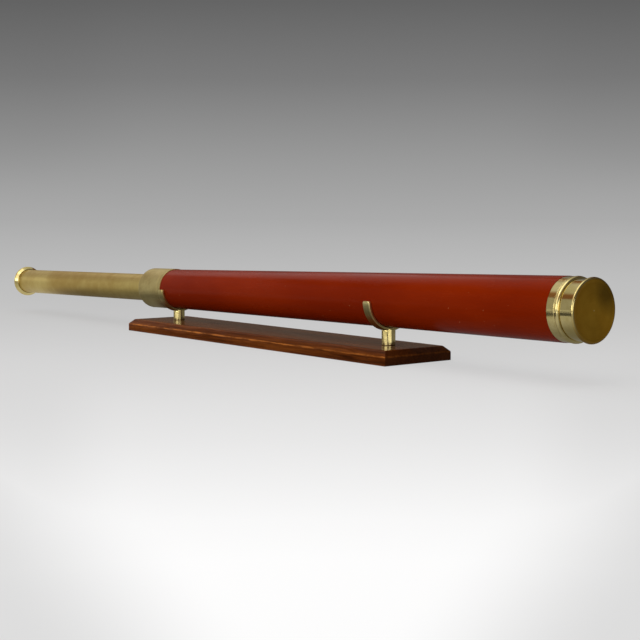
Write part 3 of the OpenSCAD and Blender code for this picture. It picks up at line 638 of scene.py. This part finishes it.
# a cutter's result takes the place of the object's mesh; the bevel breaks the new edges
def cutAway(obj, cutter, bevelWidth=0.0):
    modifier = obj.modifiers.new("cut", "BOOLEAN")
    modifier.operation = "DIFFERENCE"
    modifier.solver = "EXACT"
    modifier.object = cutter
    if bevelWidth:
        breakEdges(obj, bevelWidth, 2, 32)
    settle(obj)
    bpy.data.objects.remove(cutter)


def shadeByAngle(obj, degrees=35):
    obj.data.shade_smooth()
    obj.data.set_sharp_from_angle(angle=math.radians(degrees))


def coverWhole(obj, finish):
    obj.data.materials.clear()
    obj.data.materials.append(finish)
    for face in obj.data.polygons:
        face.material_index = 0


def cutSlot(obj, matrix, depth, reach, width=0.7):
    work = bmesh.new()
    size = Matrix.Diagonal((reach * mm, width * mm, 2 * depth * mm, 1))
    bmesh.ops.create_cube(work, size=1, matrix=matrix @ size)
    cutAway(obj, fromBmesh("slotCutter", work), 0.04)
    coverWhole(obj, obj.data.materials[0])
    shadeByAngle(obj, 30)


# the values that go by the given names
def pick(sizes, names):
    return [sizes[name] for name in names.split()]


def stationed(offset, pairs):
    return [(offset + pair[0], *pair[1:]) for pair in pairs]


def arcPoints(station, radius, size, start, end, parts):
    angles = [math.radians(start + (end - start) * k / parts) for k in range(parts + 1)]
    return [(station + size * math.sin(angle), radius + size * math.cos(angle)) for angle in angles]


# sizes are in mm; a tenon is a stepped-down end that another piece fits over
barrelSizes = {"rearRadius": 24.3, "frontRadius": 29.0, "edge": 0.25, "waver": 0.05,
               "rearTenon": 25, "rearTenonRadius": 22.8, "rearBore": 20.614,
               "frontTenon": 7, "frontTenonRadius": 27.35, "frontBore": 25.552}


def makeBarrel():
    sizes = barrelSizes
    rear, front, edge = barrelRear - sizes["rearTenon"], barrelFront + sizes["frontTenon"], sizes["edge"]
    rearRadius, rearTenon, rearBore = pick(sizes, "rearRadius rearTenonRadius rearBore")
    frontRadius, frontTenon, frontBore = pick(sizes, "frontRadius frontTenonRadius frontBore")
    outline = [(rear, rearBore), (rear, rearTenon, 0.3), (barrelRear, rearTenon),
               (barrelRear, rearRadius, edge), (barrelFront, frontRadius, edge), (barrelFront, frontTenon),
               (front, frontTenon, 0.2), (front, frontBore)]
    turnPiece("barrel", outline, "barrel_lacquer", "telescope", "barrel_tube", steps=160, step=5,
              waver=sizes["waver"], waverScale=26)


ferruleSizes = {"radius": 25.1, "edge": 0.35, "shown": 7.5, "bore": 22.85, "tenon": 22.5,
                "tenonRadius": 23.75}
collarSizes = {"long": 45.5, "bore": 23.8, "rounding": 3.0, "endThick": 4, "endBore": 18.6}
sleeveSizes = {"lip": 1.6, "lipRadius": 20.15, "rounding": 0.78, "long": 62.5, "radius": 18.55, "bore": 17.15}


def makeRearPieces():
    radius, edge, shown = pick(ferruleSizes, "radius edge shown")
    tenon, tenonRadius, bore = pick(ferruleSizes, "tenon tenonRadius bore")
    ferrule = [(0, bore), (0, radius, edge), (-shown, radius, edge), (-shown, tenonRadius),
               (-tenon, tenonRadius, 0.2), (-tenon, bore)]
    turnPiece("rearFerrule", stationed(barrelRear, ferrule), "dull_brass", "telescope", "rear_ferrule",
              waver=0.02)
    long, bore, rounding, endThick, endBore = pick(collarSizes, "long bore rounding endThick endBore")
    collar = [(0, bore), (0, radius, edge), (-long, radius, rounding), (-long, endBore, 0.2),
              (endThick - long, endBore), (endThick - long, bore)]
    front = barrelRear - shown
    turnPiece("drawCollar", stationed(front, collar), "dull_brass", "telescope", "draw_collar", waver=0.04,
              step=3)
    rear = front - long
    lip, lipRadius, rounding = pick(sleeveSizes, "lip lipRadius rounding")
    long, radius, bore = pick(sleeveSizes, "long radius bore")
    sleeve = [(-lip, bore, 0.15), (-lip, lipRadius, rounding), (0, lipRadius, rounding), (0, radius),
              (long, radius, 0.15), (long, bore, 0.3)]
    turnPiece("guideSleeve", stationed(rear, sleeve), "dull_brass", "telescope", "guide_sleeve")


# a polished band, a bead and the neck for the cap; the bead's arc runs from one angle to the other
frontSizes = {"bandLong": 7.7, "bandRadius": 28.7, "bore": 27.4, "groove": (8.0, 8.648, 28.4),
              "bead": (10.3, 26.8, 2.3), "start": -42, "end": 88, "beadEnd": 12.6,
              "neck": 24.4, "neckRadius": 25.9, "neckBore": 24.7, "shoulder": 7.05}


def makeObjectiveCollar():
    sizes = frontSizes
    band, bore, shoulder, beadEnd = pick(sizes, "bandRadius bore shoulder beadEnd")
    neck, neckRadius, neckBore = pick(sizes, "neck neckRadius neckBore")
    first, last, groove = sizes["groove"]
    outline = [(0, bore), (0, band, 0.2), (sizes["bandLong"], band, 0.12), (first, groove), (last, groove)]
    outline += arcPoints(*sizes["bead"], sizes["start"], sizes["end"], 24)
    outline += [(beadEnd, sizes["bead"][1]), (beadEnd, neckRadius, 0.1), (neck, neckRadius, 0.25),
                (neck, neckBore, 0.15), (shoulder, neckBore), (shoulder, bore)]
    turnPiece("objectiveCollar", stationed(barrelFront, outline), "polished_brass", "telescope",
              "objective_collar", steps=320, step=2)


# a spun cap: a cove inside the rim, then a shallow dish with a turner's centre mark
capSizes = {"front": 28.3, "radius": 28.5, "bore": 26.8, "mouth": 12.9, "neckBore": 25.96, "floor": 26.2,
            "rimLong": 1.6, "rimDeep": 1.8, "dishDepth": 0.6, "centreMark": 0.6,
            "coveStart": 26.4, "coveEnd": 24.2, "coveDepth": 0.25}


def makeDustCap():
    sizes = capSizes
    front, radius, bore, mouth, floor, neckBore = pick(sizes, "front radius bore mouth floor neckBore")
    dish, cove, coveEnd = pick(sizes, "dishDepth coveDepth coveEnd")
    outline = [(front - dish - 0.15, 0), (front - dish - 0.1, 0.3), (front - dish, sizes["centreMark"], 0.1)]
    parts = 22
    for k in range(2, parts + 1):
        out = coveEnd * k / parts
        outline.append((front - dish + (out / coveEnd) ** 2 * (dish - cove), out))
    for k in range(1, 9):
        share = k / 8
        drop = cove * (1 - share * share * (3 - 2 * share))
        outline.append((front - drop, coveEnd + share * (sizes["coveStart"] - coveEnd)))
    for k in range(11):
        angle = math.pi / 2 * k / 10
        outline.append((front - sizes["rimLong"] * (1 - math.cos(angle)),
                        radius - sizes["rimDeep"] * (1 - math.sin(angle))))
    outline += [(front - 2, radius, 0.3), (front - 2, bore, 0.08), (mouth, bore, 0.3),
                (mouth, neckBore, 0.2), (floor, neckBore), (floor, 0)]
    turnPiece("dustCap", stationed(barrelFront, outline), "cap_bronze", "dust_cap_body", "dust_cap",
              closed=False, steps=320, step=1.5)


drawSizes = {"long": 450.5, "radius": 17.1, "bore": 16.1, "edge": 0.3, "waver": 0.035,
             "stopLong": 10, "stopRadius": 18.425, "stopBore": 17.125}


def makeDraw():
    sizes = drawSizes
    radius, bore, edge = pick(sizes, "radius bore edge")
    front = eyeStation + sizes["long"]
    tube = [(eyeStation, bore, 0.2), (eyeStation, radius, 0.2), (front, radius, edge), (front, bore, edge)]
    turnPiece("drawTube", tube, "draw_brass", "draw", "draw_tube", steps=128, step=5, waver=sizes["waver"],
              waverScale=34)
    long, radius, bore = pick(sizes, "stopLong stopRadius stopBore")
    stop = [(-long, bore), (-long, radius, 0.25), (0, radius, 0.25), (0, bore)]
    turnPiece("drawStopRing", stationed(front, stop), "dull_brass", "draw", "draw_stop_ring")


# the cup's rear edge is a full round, its front side a soft cone
cupSizes = {"long": 7.15, "radius": 21.8, "rounding": 4.0, "cone": (-3.9, 18.2), "hollow": 15.6,
            "plate": (-2, 0.5), "eyeHole": 3.5, "tenon": 15, "tenonRadius": 16.05, "tenonBore": 14.9}


def makeEyepieceCup():
    sizes = cupSizes
    long, radius, rounding, hollow, hole = pick(sizes, "long radius rounding hollow eyeHole")
    tenon, outer, bore = pick(sizes, "tenon tenonRadius tenonBore")
    (back, front), (coneStart, coneEnd) = sizes["plate"], sizes["cone"]
    outline = [(tenon, bore), (front, bore), (front, hole, 0.15), (back, hole, 0.35), (back, hollow, 0.8),
               (-long, hollow, 0.35), (-long, radius, rounding), (coneStart, radius, 1.6), (0, coneEnd, 1.2),
               (0, outer, 0.1), (tenon, outer, 0.3)]
    turnPiece("eyepieceCup", stationed(eyeStation, outline), "polished_brass", "draw", "eyepiece_cup",
              steps=256, step=2)


# rise is the pivot's height above the telescope's axis; stations count from the cup's front face
shutterSizes = {
    "rise": 9.5, "disc": 5.0, "boss": 2.8, "thickness": 1.0, "rear": -3.1, "edge": 0.18,
    "pivotHole": 1.05, "knobHole": 0.65, "knobOffset": 2.6, "slotDepth": 0.3, "slotReach": 4.4,
    "knob": [(-2.1, 0), (-2.1, 0.6), (-3.1, 0.6), (-3.1, 1.3, 0.1), (-4.1, 0.95, 0.3), (-5.1, 1.3, 0.5),
             (-5.1, 0)],
    "screw": [(0, 0), (0, 1.0, 0.1), (-3.2, 1.0), (-3.2, 2.0, 0.1), (-4.2, 2.0, 0.35), (-4.2, 0)]}


def pivotMatrix(shift=(0, 0, 0)):
    rise = Matrix.Translation((shutterSizes["rise"] * mm, 0, 0))
    return (axisMatrix @ Matrix.Translation((0, 0, eyeStation * mm)) @ Matrix.Rotation(math.pi, 4, "Z") @ rise
            @ Matrix.Translation(Vector(shift) * mm))


def pivotPiece(name, outline, slotName, body, replaced, shift=(0, 0, 0)):
    matrix = pivotMatrix(shift)
    return turnPiece(name, outline, slotName, body, replaced, closed=False, steps=48, step=1,
                     place=matrix.translation, turn=matrix.to_euler())


def makeShutter():
    sizes = shutterSizes
    disc, boss, rear, far = sizes["disc"], sizes["boss"], sizes["rear"] * mm, -sizes["rise"]
    # the neck's straight sides meet the disc where it is as wide as the boss
    meet = math.asin(boss / disc)
    angles = [meet + (2 * math.pi - 2 * meet) * k / 40 for k in range(41)]
    ring = [(far + disc * math.cos(angle), disc * math.sin(angle)) for angle in angles]
    angles = [-math.pi / 2 + math.pi * k / 24 for k in range(25)]
    ring += [(boss * math.cos(angle), boss * math.sin(angle)) for angle in angles]
    work = bmesh.new()
    bottom = work.faces.new([work.verts.new((x * mm, y * mm, rear)) for x, y in ring])
    lifted = bmesh.ops.extrude_face_region(work, geom=[bottom])["geom"]
    lifted = [item for item in lifted if isinstance(item, bmesh.types.BMVert)]
    bmesh.ops.translate(work, verts=lifted, vec=(0, 0, sizes["thickness"] * mm))
    bmesh.ops.recalc_face_normals(work, faces=work.faces)
    plate = fromBmesh("eyeShutter", work)
    knobPlace = far - sizes["knobOffset"]
    holes = bmesh.new()
    for place, radius in ((0, sizes["pivotHole"] * mm), (knobPlace, sizes["knobHole"] * mm)):
        bmesh.ops.create_cone(holes, cap_ends=True, segments=40, radius1=radius, radius2=radius, depth=6 * mm,
                              matrix=Matrix.Translation((place * mm, 0, rear)))
    cutAway(plate, fromBmesh("holes", holes), sizes["edge"])
    plate.data.transform(pivotMatrix())
    coverWhole(plate, finishes["polished_brass"])
    shadeByAngle(plate)
    finishPiece(plate, "shutter", "eye_shutter")

    pivotPiece("shutterKnob", sizes["knob"], "polished_brass", "shutter", "shutter_knob", (knobPlace, 0, 0))
    screw = pivotPiece("shutterScrew", sizes["screw"], "screw_steel", "draw", "shutter_screw")
    cutSlot(screw, pivotMatrix((0, 0, sizes["screw"][-1][0])), sizes["slotDepth"], sizes["slotReach"])


boardSizes = {"length": 488, "width": 89, "thick": 14.5, "bevelWide": 5.8, "bevelHigh": 5.6, "edge": 0.6,
              "corner": 0.9, "nicks": 0.3,
              "screwHole": [(-1, 0), (-1, 4.05), (0.5, 4.05), (2.5, 2.05), (16, 2.05), (16, 0)]}
postSizes = {"diameter": 14, "footChamfer": 0.5, "saddleDrop": 1.5, "saddlePlay": 0.05, "edge": 0.15}
cradleSizes = {"width": 10, "thick": 3.2, "edge": 1.2, "innerEdge": 0.3, "tipCut": 1.4, "tipEdge": 0.35}
# one line for each end: place along the board, height of the cradle's centre, inner radius of the cradle
standEnds = {"eyepiece": (-194.7, 53.0429, 24.6429), "objective": (199.5, 59.8791, 27.5791)}
# the seed turns the slots of a set; a flip lays the heads downwards
screwSets = {
    "postScrews": {"diameter": 4, "head": 8, "length": 19, "flip": (math.pi, 0, 0), "seed": 3,
                   "finish": "screw_steel", "slot": "screw_steel", "node": "post_screws"},
    "cradleScrews": {"diameter": 2.5, "head": 4.6, "length": 6.5, "flip": (0, 0, 0), "seed": 8,
                     "finish": "stand_brass", "slot": "polished_brass", "node": "cradle_screws"},
}


def bevelEdges(work, edges, width, segments):
    bmesh.ops.bevel(work, geom=edges, offset=width * mm, offset_type="OFFSET", segments=segments, profile=0.5,
                    affect="EDGES")


def makeBoard():
    sizes = boardSizes
    x, y, z = sizes["length"] / 2, sizes["width"] / 2, sizes["thick"]
    inset, foot = sizes["bevelWide"], sizes["thick"] - sizes["bevelHigh"]
    corners = ((-1, -1), (1, -1), (1, 1), (-1, 1))
    work = bmesh.new()
    rings = []
    for dx, dy, level in ((x, y, 0), (x, y, foot), (x - inset, y - inset, z)):
        rings.append([work.verts.new((sx * dx * mm, sy * dy * mm, level * mm)) for sx, sy in corners])
    for low, high in zip(rings, rings[1:]):
        for k in range(4):
            work.faces.new((low[k], low[(k + 1) % 4], high[(k + 1) % 4], high[k]))
    work.faces.new(rings[0][::-1])
    work.faces.new(rings[-1])
    spans = {edge: edge.verts[0].co - edge.verts[1].co for edge in work.edges}
    upright = [edge for edge, span in spans.items() if max(abs(span.x), abs(span.y)) < 0.007]
    bevelEdges(work, upright, sizes["corner"], 4)
    ridge = [edge for edge in work.edges if edge.calc_face_angle(0) > math.radians(20)]
    bevelEdges(work, ridge, sizes["edge"], 3)
    # cross cuts give the edges points to wear down, and keep the large faces' shading flat
    for direction, half, count in ((Vector((1, 0, 0)), x, 120), (Vector((0, 1, 0)), y, 24)):
        for k in range(1, count):
            everything = work.verts[:] + work.edges[:] + work.faces[:]
            place = direction * ((2 * k / count - 1) * half * mm)
            bmesh.ops.bisect_plane(work, geom=everything, plane_co=place, plane_no=direction)
    board = fromBmesh("standBoard", work)
    for place, height, radius in standEnds.values():
        cutAway(board, turnPiece("hole", sizes["screwHole"], "dark_wood", closed=False, steps=64,
                                 place=(place * mm, 0, 0), turn=(0, 0, 0)))
    for vertex in board.data.vertices:
        wearDown(vertex, x, y, foot)
    coverWhole(board, finishes["dark_wood"])
    shadeByAngle(board, 24)
    finishPiece(board, "stand", "stand_board")


# the rubbed edges lose a little wood, more in some places than in others
def wearDown(vertex, halfX, halfY, foot):
    sizes = boardSizes
    co = vertex.co / mm
    sideX, sideY = halfX - abs(co.x), halfY - abs(co.y)
    side = min(sideX, sideY)
    near = min(math.hypot(side, co.z - foot), math.hypot(side - sizes["bevelWide"], co.z - sizes["thick"]),
               math.hypot(side, co.z))
    if near > 1.0:
        return
    broad = noise.noise(Vector((co.x * 0.09, co.y * 0.13, co.z * 0.2)), noise_basis="PERLIN_ORIGINAL")
    small = noise.noise(Vector((co.x * 0.35 + 7, co.y * 0.4, co.z * 0.5)), noise_basis="PERLIN_ORIGINAL")
    amount = max(0.0, broad + 0.1) + 0.6 * max(0.0, small)
    inward = Vector((-math.copysign(1, co.x) if sideX < 7 else 0, -math.copysign(1, co.y) if sideY < 7 else 0,
                     -0.6 if co.z > 2 else 0.6))
    if co.z < 0.8:
        inward.z = 0
    vertex.co += inward.normalized() * amount * sizes["nicks"] * mm * max(0.0, 1 - near)
    for axis, limit in ((0, halfX * mm), (1, halfY * mm)):
        vertex.co[axis] = max(-limit, min(limit, vertex.co[axis]))


def makePost(name, end, replaced):
    place, height, radius = standEnds[end]
    sizes = postSizes
    outer, foot, top = sizes["diameter"] / 2, boardSizes["thick"], height - radius + 4
    body = [(foot, 0), (foot, outer, sizes["footChamfer"]), (top, outer), (top, 0)]
    post = turnPiece(name, body, "polished_brass", closed=False, steps=96, step=2, place=(place * mm, 0, 0),
                     turn=(0, 0, 0))
    slot = radius + cradleSizes["thick"] + sizes["saddlePlay"]
    hollow, half = radius + sizes["saddleDrop"], cradleSizes["width"] / 2 + sizes["saddlePlay"]
    edge = cradleSizes["edge"]
    outline = [(-9, 0), (-9, hollow), (-half, hollow), (-half, slot, edge), (half, slot, edge),
               (half, hollow), (9, hollow), (9, 0)]
    cutter = turnPiece("saddle", outline, "polished_brass", closed=False, steps=288, step=4,
                       place=(place * mm, 0, height * mm), turn=(0, math.pi / 2, 0))
    cutAway(post, cutter, sizes["edge"])
    coverWhole(post, finishes["stand_brass"])
    shadeByAngle(post, 30)
    finishPiece(post, "stand", replaced)


def makeCradle(name, end, replaced):
    place, height, radius = standEnds[end]
    sizes = cradleSizes
    width, thick, edge, innerEdge = pick(sizes, "width thick edge innerEdge")
    half = width / 2
    corners = [(0, -half, innerEdge), (thick, -half, edge), (thick, half, edge), (0, half, innerEdge)]
    section = roundedPath(corners, step=1.5)
    count = len(section)
    strip = fromPoints(name, [(point.x * mm, point.y * mm, 0) for point in section],
                       [(k, (k + 1) % count) for k in range(count)])
    runTree(strip, stripTree, {
        "Radius": radius * mm, "Steps": 145, "Half Width": half * mm, "Tip Cut": sizes["tipCut"] * mm,
        "Centre": (place * mm, 0, height * mm), "Material": finishes["cradle_brass"]})
    faceOutwards(strip)
    breakEdges(strip, sizes["tipEdge"], 3, 40)
    settle(strip)
    shadeByAngle(strip, 40)
    finishPiece(strip, "stand", replaced)


# a slotted countersunk screw, head up with its top at the origin, is made once and set on points
def makeScrews(name, points):
    sizes = screwSets[name]
    radius, head, length = sizes["diameter"] / 2, sizes["head"] / 2, sizes["length"]
    outline = [(-length, 0), (-length, radius - 0.3, 0.1), (-length + 0.6, radius, 0.1),
               (radius - head, radius, 0.1), (-0.05, head, 0.05), (0, head - 0.1, 0.05), (0, 0)]
    screw = turnPiece("screwPattern", outline, sizes["slot"], closed=False, steps=64, step=2, place=(0, 0, 0),
                      turn=(0, 0, 0))
    cutSlot(screw, Matrix.Identity(4), 0.6, sizes["head"] + 1)
    group = fromPoints(name, [Vector(point) * mm for point in points])
    runTree(group, settingTree, {
        "Piece": screw, "Seed": sizes["seed"], "Flip": sizes["flip"], "Material": finishes[sizes["finish"]]})
    bpy.data.objects.remove(screw)
    finishPiece(group, "stand", sizes["node"])


def makeStand():
    makeBoard()
    for make, word in ((makePost, "post"), (makeCradle, "cradle")):
        for end in standEnds:
            make(end + word.title(), end, end + "_" + word)
    ends = standEnds.values()
    makeScrews("postScrews", [(place, 0, 0.5) for place, height, radius in ends])
    makeScrews("cradleScrews", [(place, 0, height - radius) for place, height, radius in ends])


makeBarrel()
makeRearPieces()
makeObjectiveCollar()
makeDustCap()
makeDraw()
makeEyepieceCup()
makeShutter()
print("telescope made")
makeStand()
print("stand made")


cameraPlace = {"spot": (1.12285, -0.82497, 0.14285), "azimuth": math.radians(51.415),
               "dip": math.radians(4.77), "lens": 69.4}
ahead = (-math.sin(cameraPlace["azimuth"]), math.cos(cameraPlace["azimuth"]), 0)
aside = (math.cos(cameraPlace["azimuth"]), math.sin(cameraPlace["azimuth"]), 0)


def makeCamera():
    data = bpy.data.cameras.new("camera")
    data.lens = cameraPlace["lens"]
    data.sensor_width = 36
    data.clip_start = 0.02
    data.clip_end = 200
    camera = newObject("camera", data)
    camera.location = cameraPlace["spot"]
    camera.rotation_euler = (math.pi / 2 - cameraPlace["dip"], 0, cameraPlace["azimuth"])
    bpy.context.scene.camera = camera


# greys of the studio sweep, from the far end of the floor to the front, and from the horizon upwards
floorGreys = [(0.0, 170), (0.0186, 179), (0.0509, 191), (0.0835, 203), (0.1162, 214), (0.149, 224),
              (0.182, 232), (0.2155, 241), (0.2485, 249), (0.2817, 253)]
skyGreys = [(0.0, 170), (0.0459, 153), (0.1089, 123), (0.1699, 100), (0.4, 88)]
# the floor glows by nearShare near the object and by farShare far from it; the rest is lit and takes shadows
floorLook = {
    "greySpan": 0.3, "nearest": 0.3, "nearShare": 0.8, "farShare": 1.0, "lit": 1.25, "bounce": 0.5,
    "nearShade": 0.26, "farShade": 0.07, "cornerStart": 0.414, "cornerSlope": 0.55,
    # mirrored, under, eyeEnd and the dark strips set what reflections see of the floor: painted shade under
    # the object and in strips in front of it, painted light at the eye end
    "mirrored": 0.62, "under": 0.3, "sheen": 2.2, "eyeEnd": 1.05, "plain": 202,
    "stripDarkness": 0.8, "darkStrips": [((-0.05, -0.56), (0.42, -0.19)), ((-0.36, -0.19), (0.3, -0.05))]}
# patches of the table, as low and high corners, that throw light back to what mirrors them at a low angle
sheenPatches = [((-0.36, -0.45), (0.3, -0.18)), ((0.36, -0.25), (0.7, 0.03)), ((0.5, -1.6), (1.6, -0.35))]


def boxMask(x, y, low, high, soft):
    mask = None
    for value, start, end in ((x, low[0], high[0]), (y, low[1], high[1])):
        for edge, sign in ((start, 1), (end, -1)):
            step = remap(value, edge - soft, edge + soft, 0.5 - 0.5 * sign, 0.5 + 0.5 * sign)
            mask = step if mask is None else times(mask, step)
    return mask


# mixes two shaders and gives the result to the output
def endShading(share, first, second, outputKind):
    mixed = made("ShaderNodeMixShader", {0: share, 1: first, 2: second})
    put(outputKind, {"Surface": mixed})


def makeFloor():
    look = floorLook
    material = bpy.data.materials.new("studioFloor")
    openTree(material)
    place = plainPlace()
    x, y = axesOf(place)[:2]
    foot = Vector((*cameraPlace["spot"][:2], 0))
    way = minus(measure("DOT_PRODUCT", place, ahead), Vector(ahead).dot(foot))
    run = larger(way, look["nearest"])
    side = minus(measure("DOT_PRODUCT", place, aside), Vector(aside).dot(foot))
    apart = larger(measure("DISTANCE", place, foot), look["nearest"])
    steep = over(cameraPlace["spot"][2], apart)
    span = look["greySpan"]
    grey = greyRamp(over(steep, span), [(spot / span, linear(level)) for spot, level in floorGreys])
    # the table's light fades to both sides, most of all at its front corners
    slant = over(calc("ABSOLUTE", side), run)
    corner = minus(slant, times(minus(run, look["cornerStart"]), look["cornerSlope"]))
    farFade = times(remap(slant, 0.15, 0.24, 0, look["farShade"]), remap(run, 1.3, 0.8))
    fade = larger(remap(corner, 0.05, 0.25, 0, look["nearShade"]), farFade)
    fade = plus(fade, times(speckle(place, 9, 3, 0.5), 0.006))
    # outside the picture's part of the table the floor is plain
    plain = blend(1.0, grey, srgb(*3 * [look["plain"]]), "DARKEN")
    pool = times(remap(slant, 0.75, 0.265), remap(way, -0.1, 0.4))
    grey = blend(pool, plain, dimmed(grey, minus(1.0, fade)))
    path = put("ShaderNodeLightPath").outputs
    mirror = larger(path["Is Glossy Ray"], path["Is Transmission Ray"])
    seen = larger(path["Is Camera Ray"], mirror)
    share = remap(measure("LENGTH", place), 0.45, 1.6, look["nearShare"], look["farShare"])
    lit = remap(seen, 0, 1, look["lit"] * look["bounce"], look["lit"])
    cloth = made("ShaderNodeBsdfDiffuse", {"Color": dimmed(grey, lit)})
    sheen = None
    for low, high in sheenPatches:
        patch = boxMask(x, y, low, high, 0.02)
        sheen = patch if sheen is None else larger(sheen, patch)
    facing = put("ShaderNodeLayerWeight", {"Blend": 0.5}).outputs["Facing"]
    sheen = times(times(sheen, remap(facing, 0.865, 0.895)), look["sheen"])
    # painted shade and light that only reflections see: the floor is darker under the object and in the dark
    # strips in front of it, and lighter at the eye end
    dim = remap(y, -0.12, 0.0, look["mirrored"], look["under"])
    dim = larger(dim, remap(x, -0.45, -0.62, 0.0, look["eyeEnd"]))
    for low, high in look["darkStrips"]:
        darkStrip = boxMask(x, y, low, high, 0.006)
        dim = times(dim, remap(darkStrip, 0, 1, 1, 1 - look["stripDarkness"]))
    level = blend(mirror, (1, 1, 1), greyOf(larger(dim, sheen)))
    glow = made("ShaderNodeEmission", {"Color": tinted(grey, level), "Strength": 1.0})
    endShading(times(seen, larger(share, mirror)), cloth, glow, "ShaderNodeOutputMaterial")
    half, level = 60, -0.0002
    corners = [(sx * half, sy * half, level) for sx, sy in ((-1, -1), (1, -1), (1, 1), (-1, 1))]
    floor = fromPoints("studioFloor", corners, [], [(0, 1, 2, 3)])
    floor.data.materials.append(material)


# what the walls and the ceiling give, from the horizon to straight above
roomLight = {
    "greys": [(0.0, 0.36), (0.35, 0.36), (0.48, 0.36), (0.52, 0.2), (0.64, 0.24), (0.7, 0.5), (0.78, 0.62),
              (1.0, 0.66)],
    "belt": srgb(255, 188, 138), "behind": 0.3, "behindWay": (0.6, 0.8, 0), "endWall": (0.55, 0.78),
    "lowTint": (0.86, 0.6, 0.42), "skySpan": 0.4, "edgeShade": 0.93}


def makeWorld():
    look = roomLight
    world = bpy.data.worlds.new("studio")
    bpy.context.scene.world = world
    openTree(world)
    direction = put("ShaderNodeTexCoord").outputs["Generated"]
    x, y, height = axesOf(direction)
    span = look["skySpan"]
    grey = greyRamp(over(height, span), [(place / span, linear(level)) for place, level in skyGreys])
    room = greyRamp(height, look["greys"])
    # a warm belt runs round the walls, high up
    belt = times(remap(height, 0.48, 0.53), remap(height, 0.7, 0.63))
    room = blend(belt, room, tinted(room, look["belt"]))
    # the wall behind the object is unlit, and straight behind it stands the backdrop itself
    far = measure("DOT_PRODUCT", direction, look["behindWay"])
    room = dimmed(room, remap(far, 0.1, 0.7, 1.0, look["behind"]))
    # the wall that the eye end points to is the lightest
    atEnd = remap(times(x, -1.0), 0.84, 0.9)
    endWall = times(atEnd, remap(height, 0.1, 0.4, *look["endWall"]))
    room = blend(1.0, room, greyOf(endWall), "LIGHTEN")
    glint = blend(remap(height, 0.1, 0.3), tinted(grey, look["lowTint"]), grey)
    straight = measure("DOT_PRODUCT", direction, ahead)
    room = blend(remap(straight, 0.84, 0.97), room, glint)
    side = calc("ABSOLUTE", measure("DOT_PRODUCT", direction, aside))
    edge = times(remap(side, 0.1, 0.25), remap(height, 0.0, 0.07))
    backdrop = dimmed(grey, remap(edge, 0, 1, 1.0, look["edgeShade"]))
    shown = made("ShaderNodeBackground", {"Color": backdrop, "Strength": 1.0})
    filling = made("ShaderNodeBackground", {"Color": room, "Strength": 1.0})
    seen = put("ShaderNodeLightPath").outputs["Is Camera Ray"]
    endShading(seen, filling, shown, "ShaderNodeOutputWorld")


# softboxes: where each hangs, the point it faces, its size in metres and how bright its face is
softboxes = {
    "overhead": ((0.25, -0.35, 1.6), (0.0, 0.0, 0.0), (1.5, 1.3), 0.9),
    "frontBox": ((0.15, -1.6, 1.1), (0.05, 0.0, 0.1), (1.6, 2.1), 1.05),
    "lowBox": ((0.3, -1.5, 0.3), (0.0, 0.0, 0.06), (1.3, 0.45), 1.6),
    "rightBox": ((1.9, -0.5, 0.3), (0.2, 0.0, 0.05), (1.4, 0.5), 1.5),
    "eyeBox": ((-1.55, -0.4, 0.22), (-0.62, 0.0, 0.05), (0.14, 0.36), 1.3),
    "rimBox": ((-1.5, 0.55, 1.25), (0.1, 0.0, 0.05), (1.2, 0.75), 0.7),
}


def makeLights():
    for name, (spot, target, size, brightness) in softboxes.items():
        data = bpy.data.lights.new(name, "AREA")
        data.shape = "RECTANGLE"
        data.size, data.size_y = size
        data.energy = brightness * math.pi * size[0] * size[1]
        lamp = newObject(name, data)
        lamp.location = spot
        lamp.rotation_euler = (Vector(target) - Vector(spot)).to_track_quat("-Z", "Y").to_euler()


makeCamera()
makeFloor()
makeWorld()
makeLights()
bpy.context.scene.view_settings.view_transform = "Standard"
print("studio set")
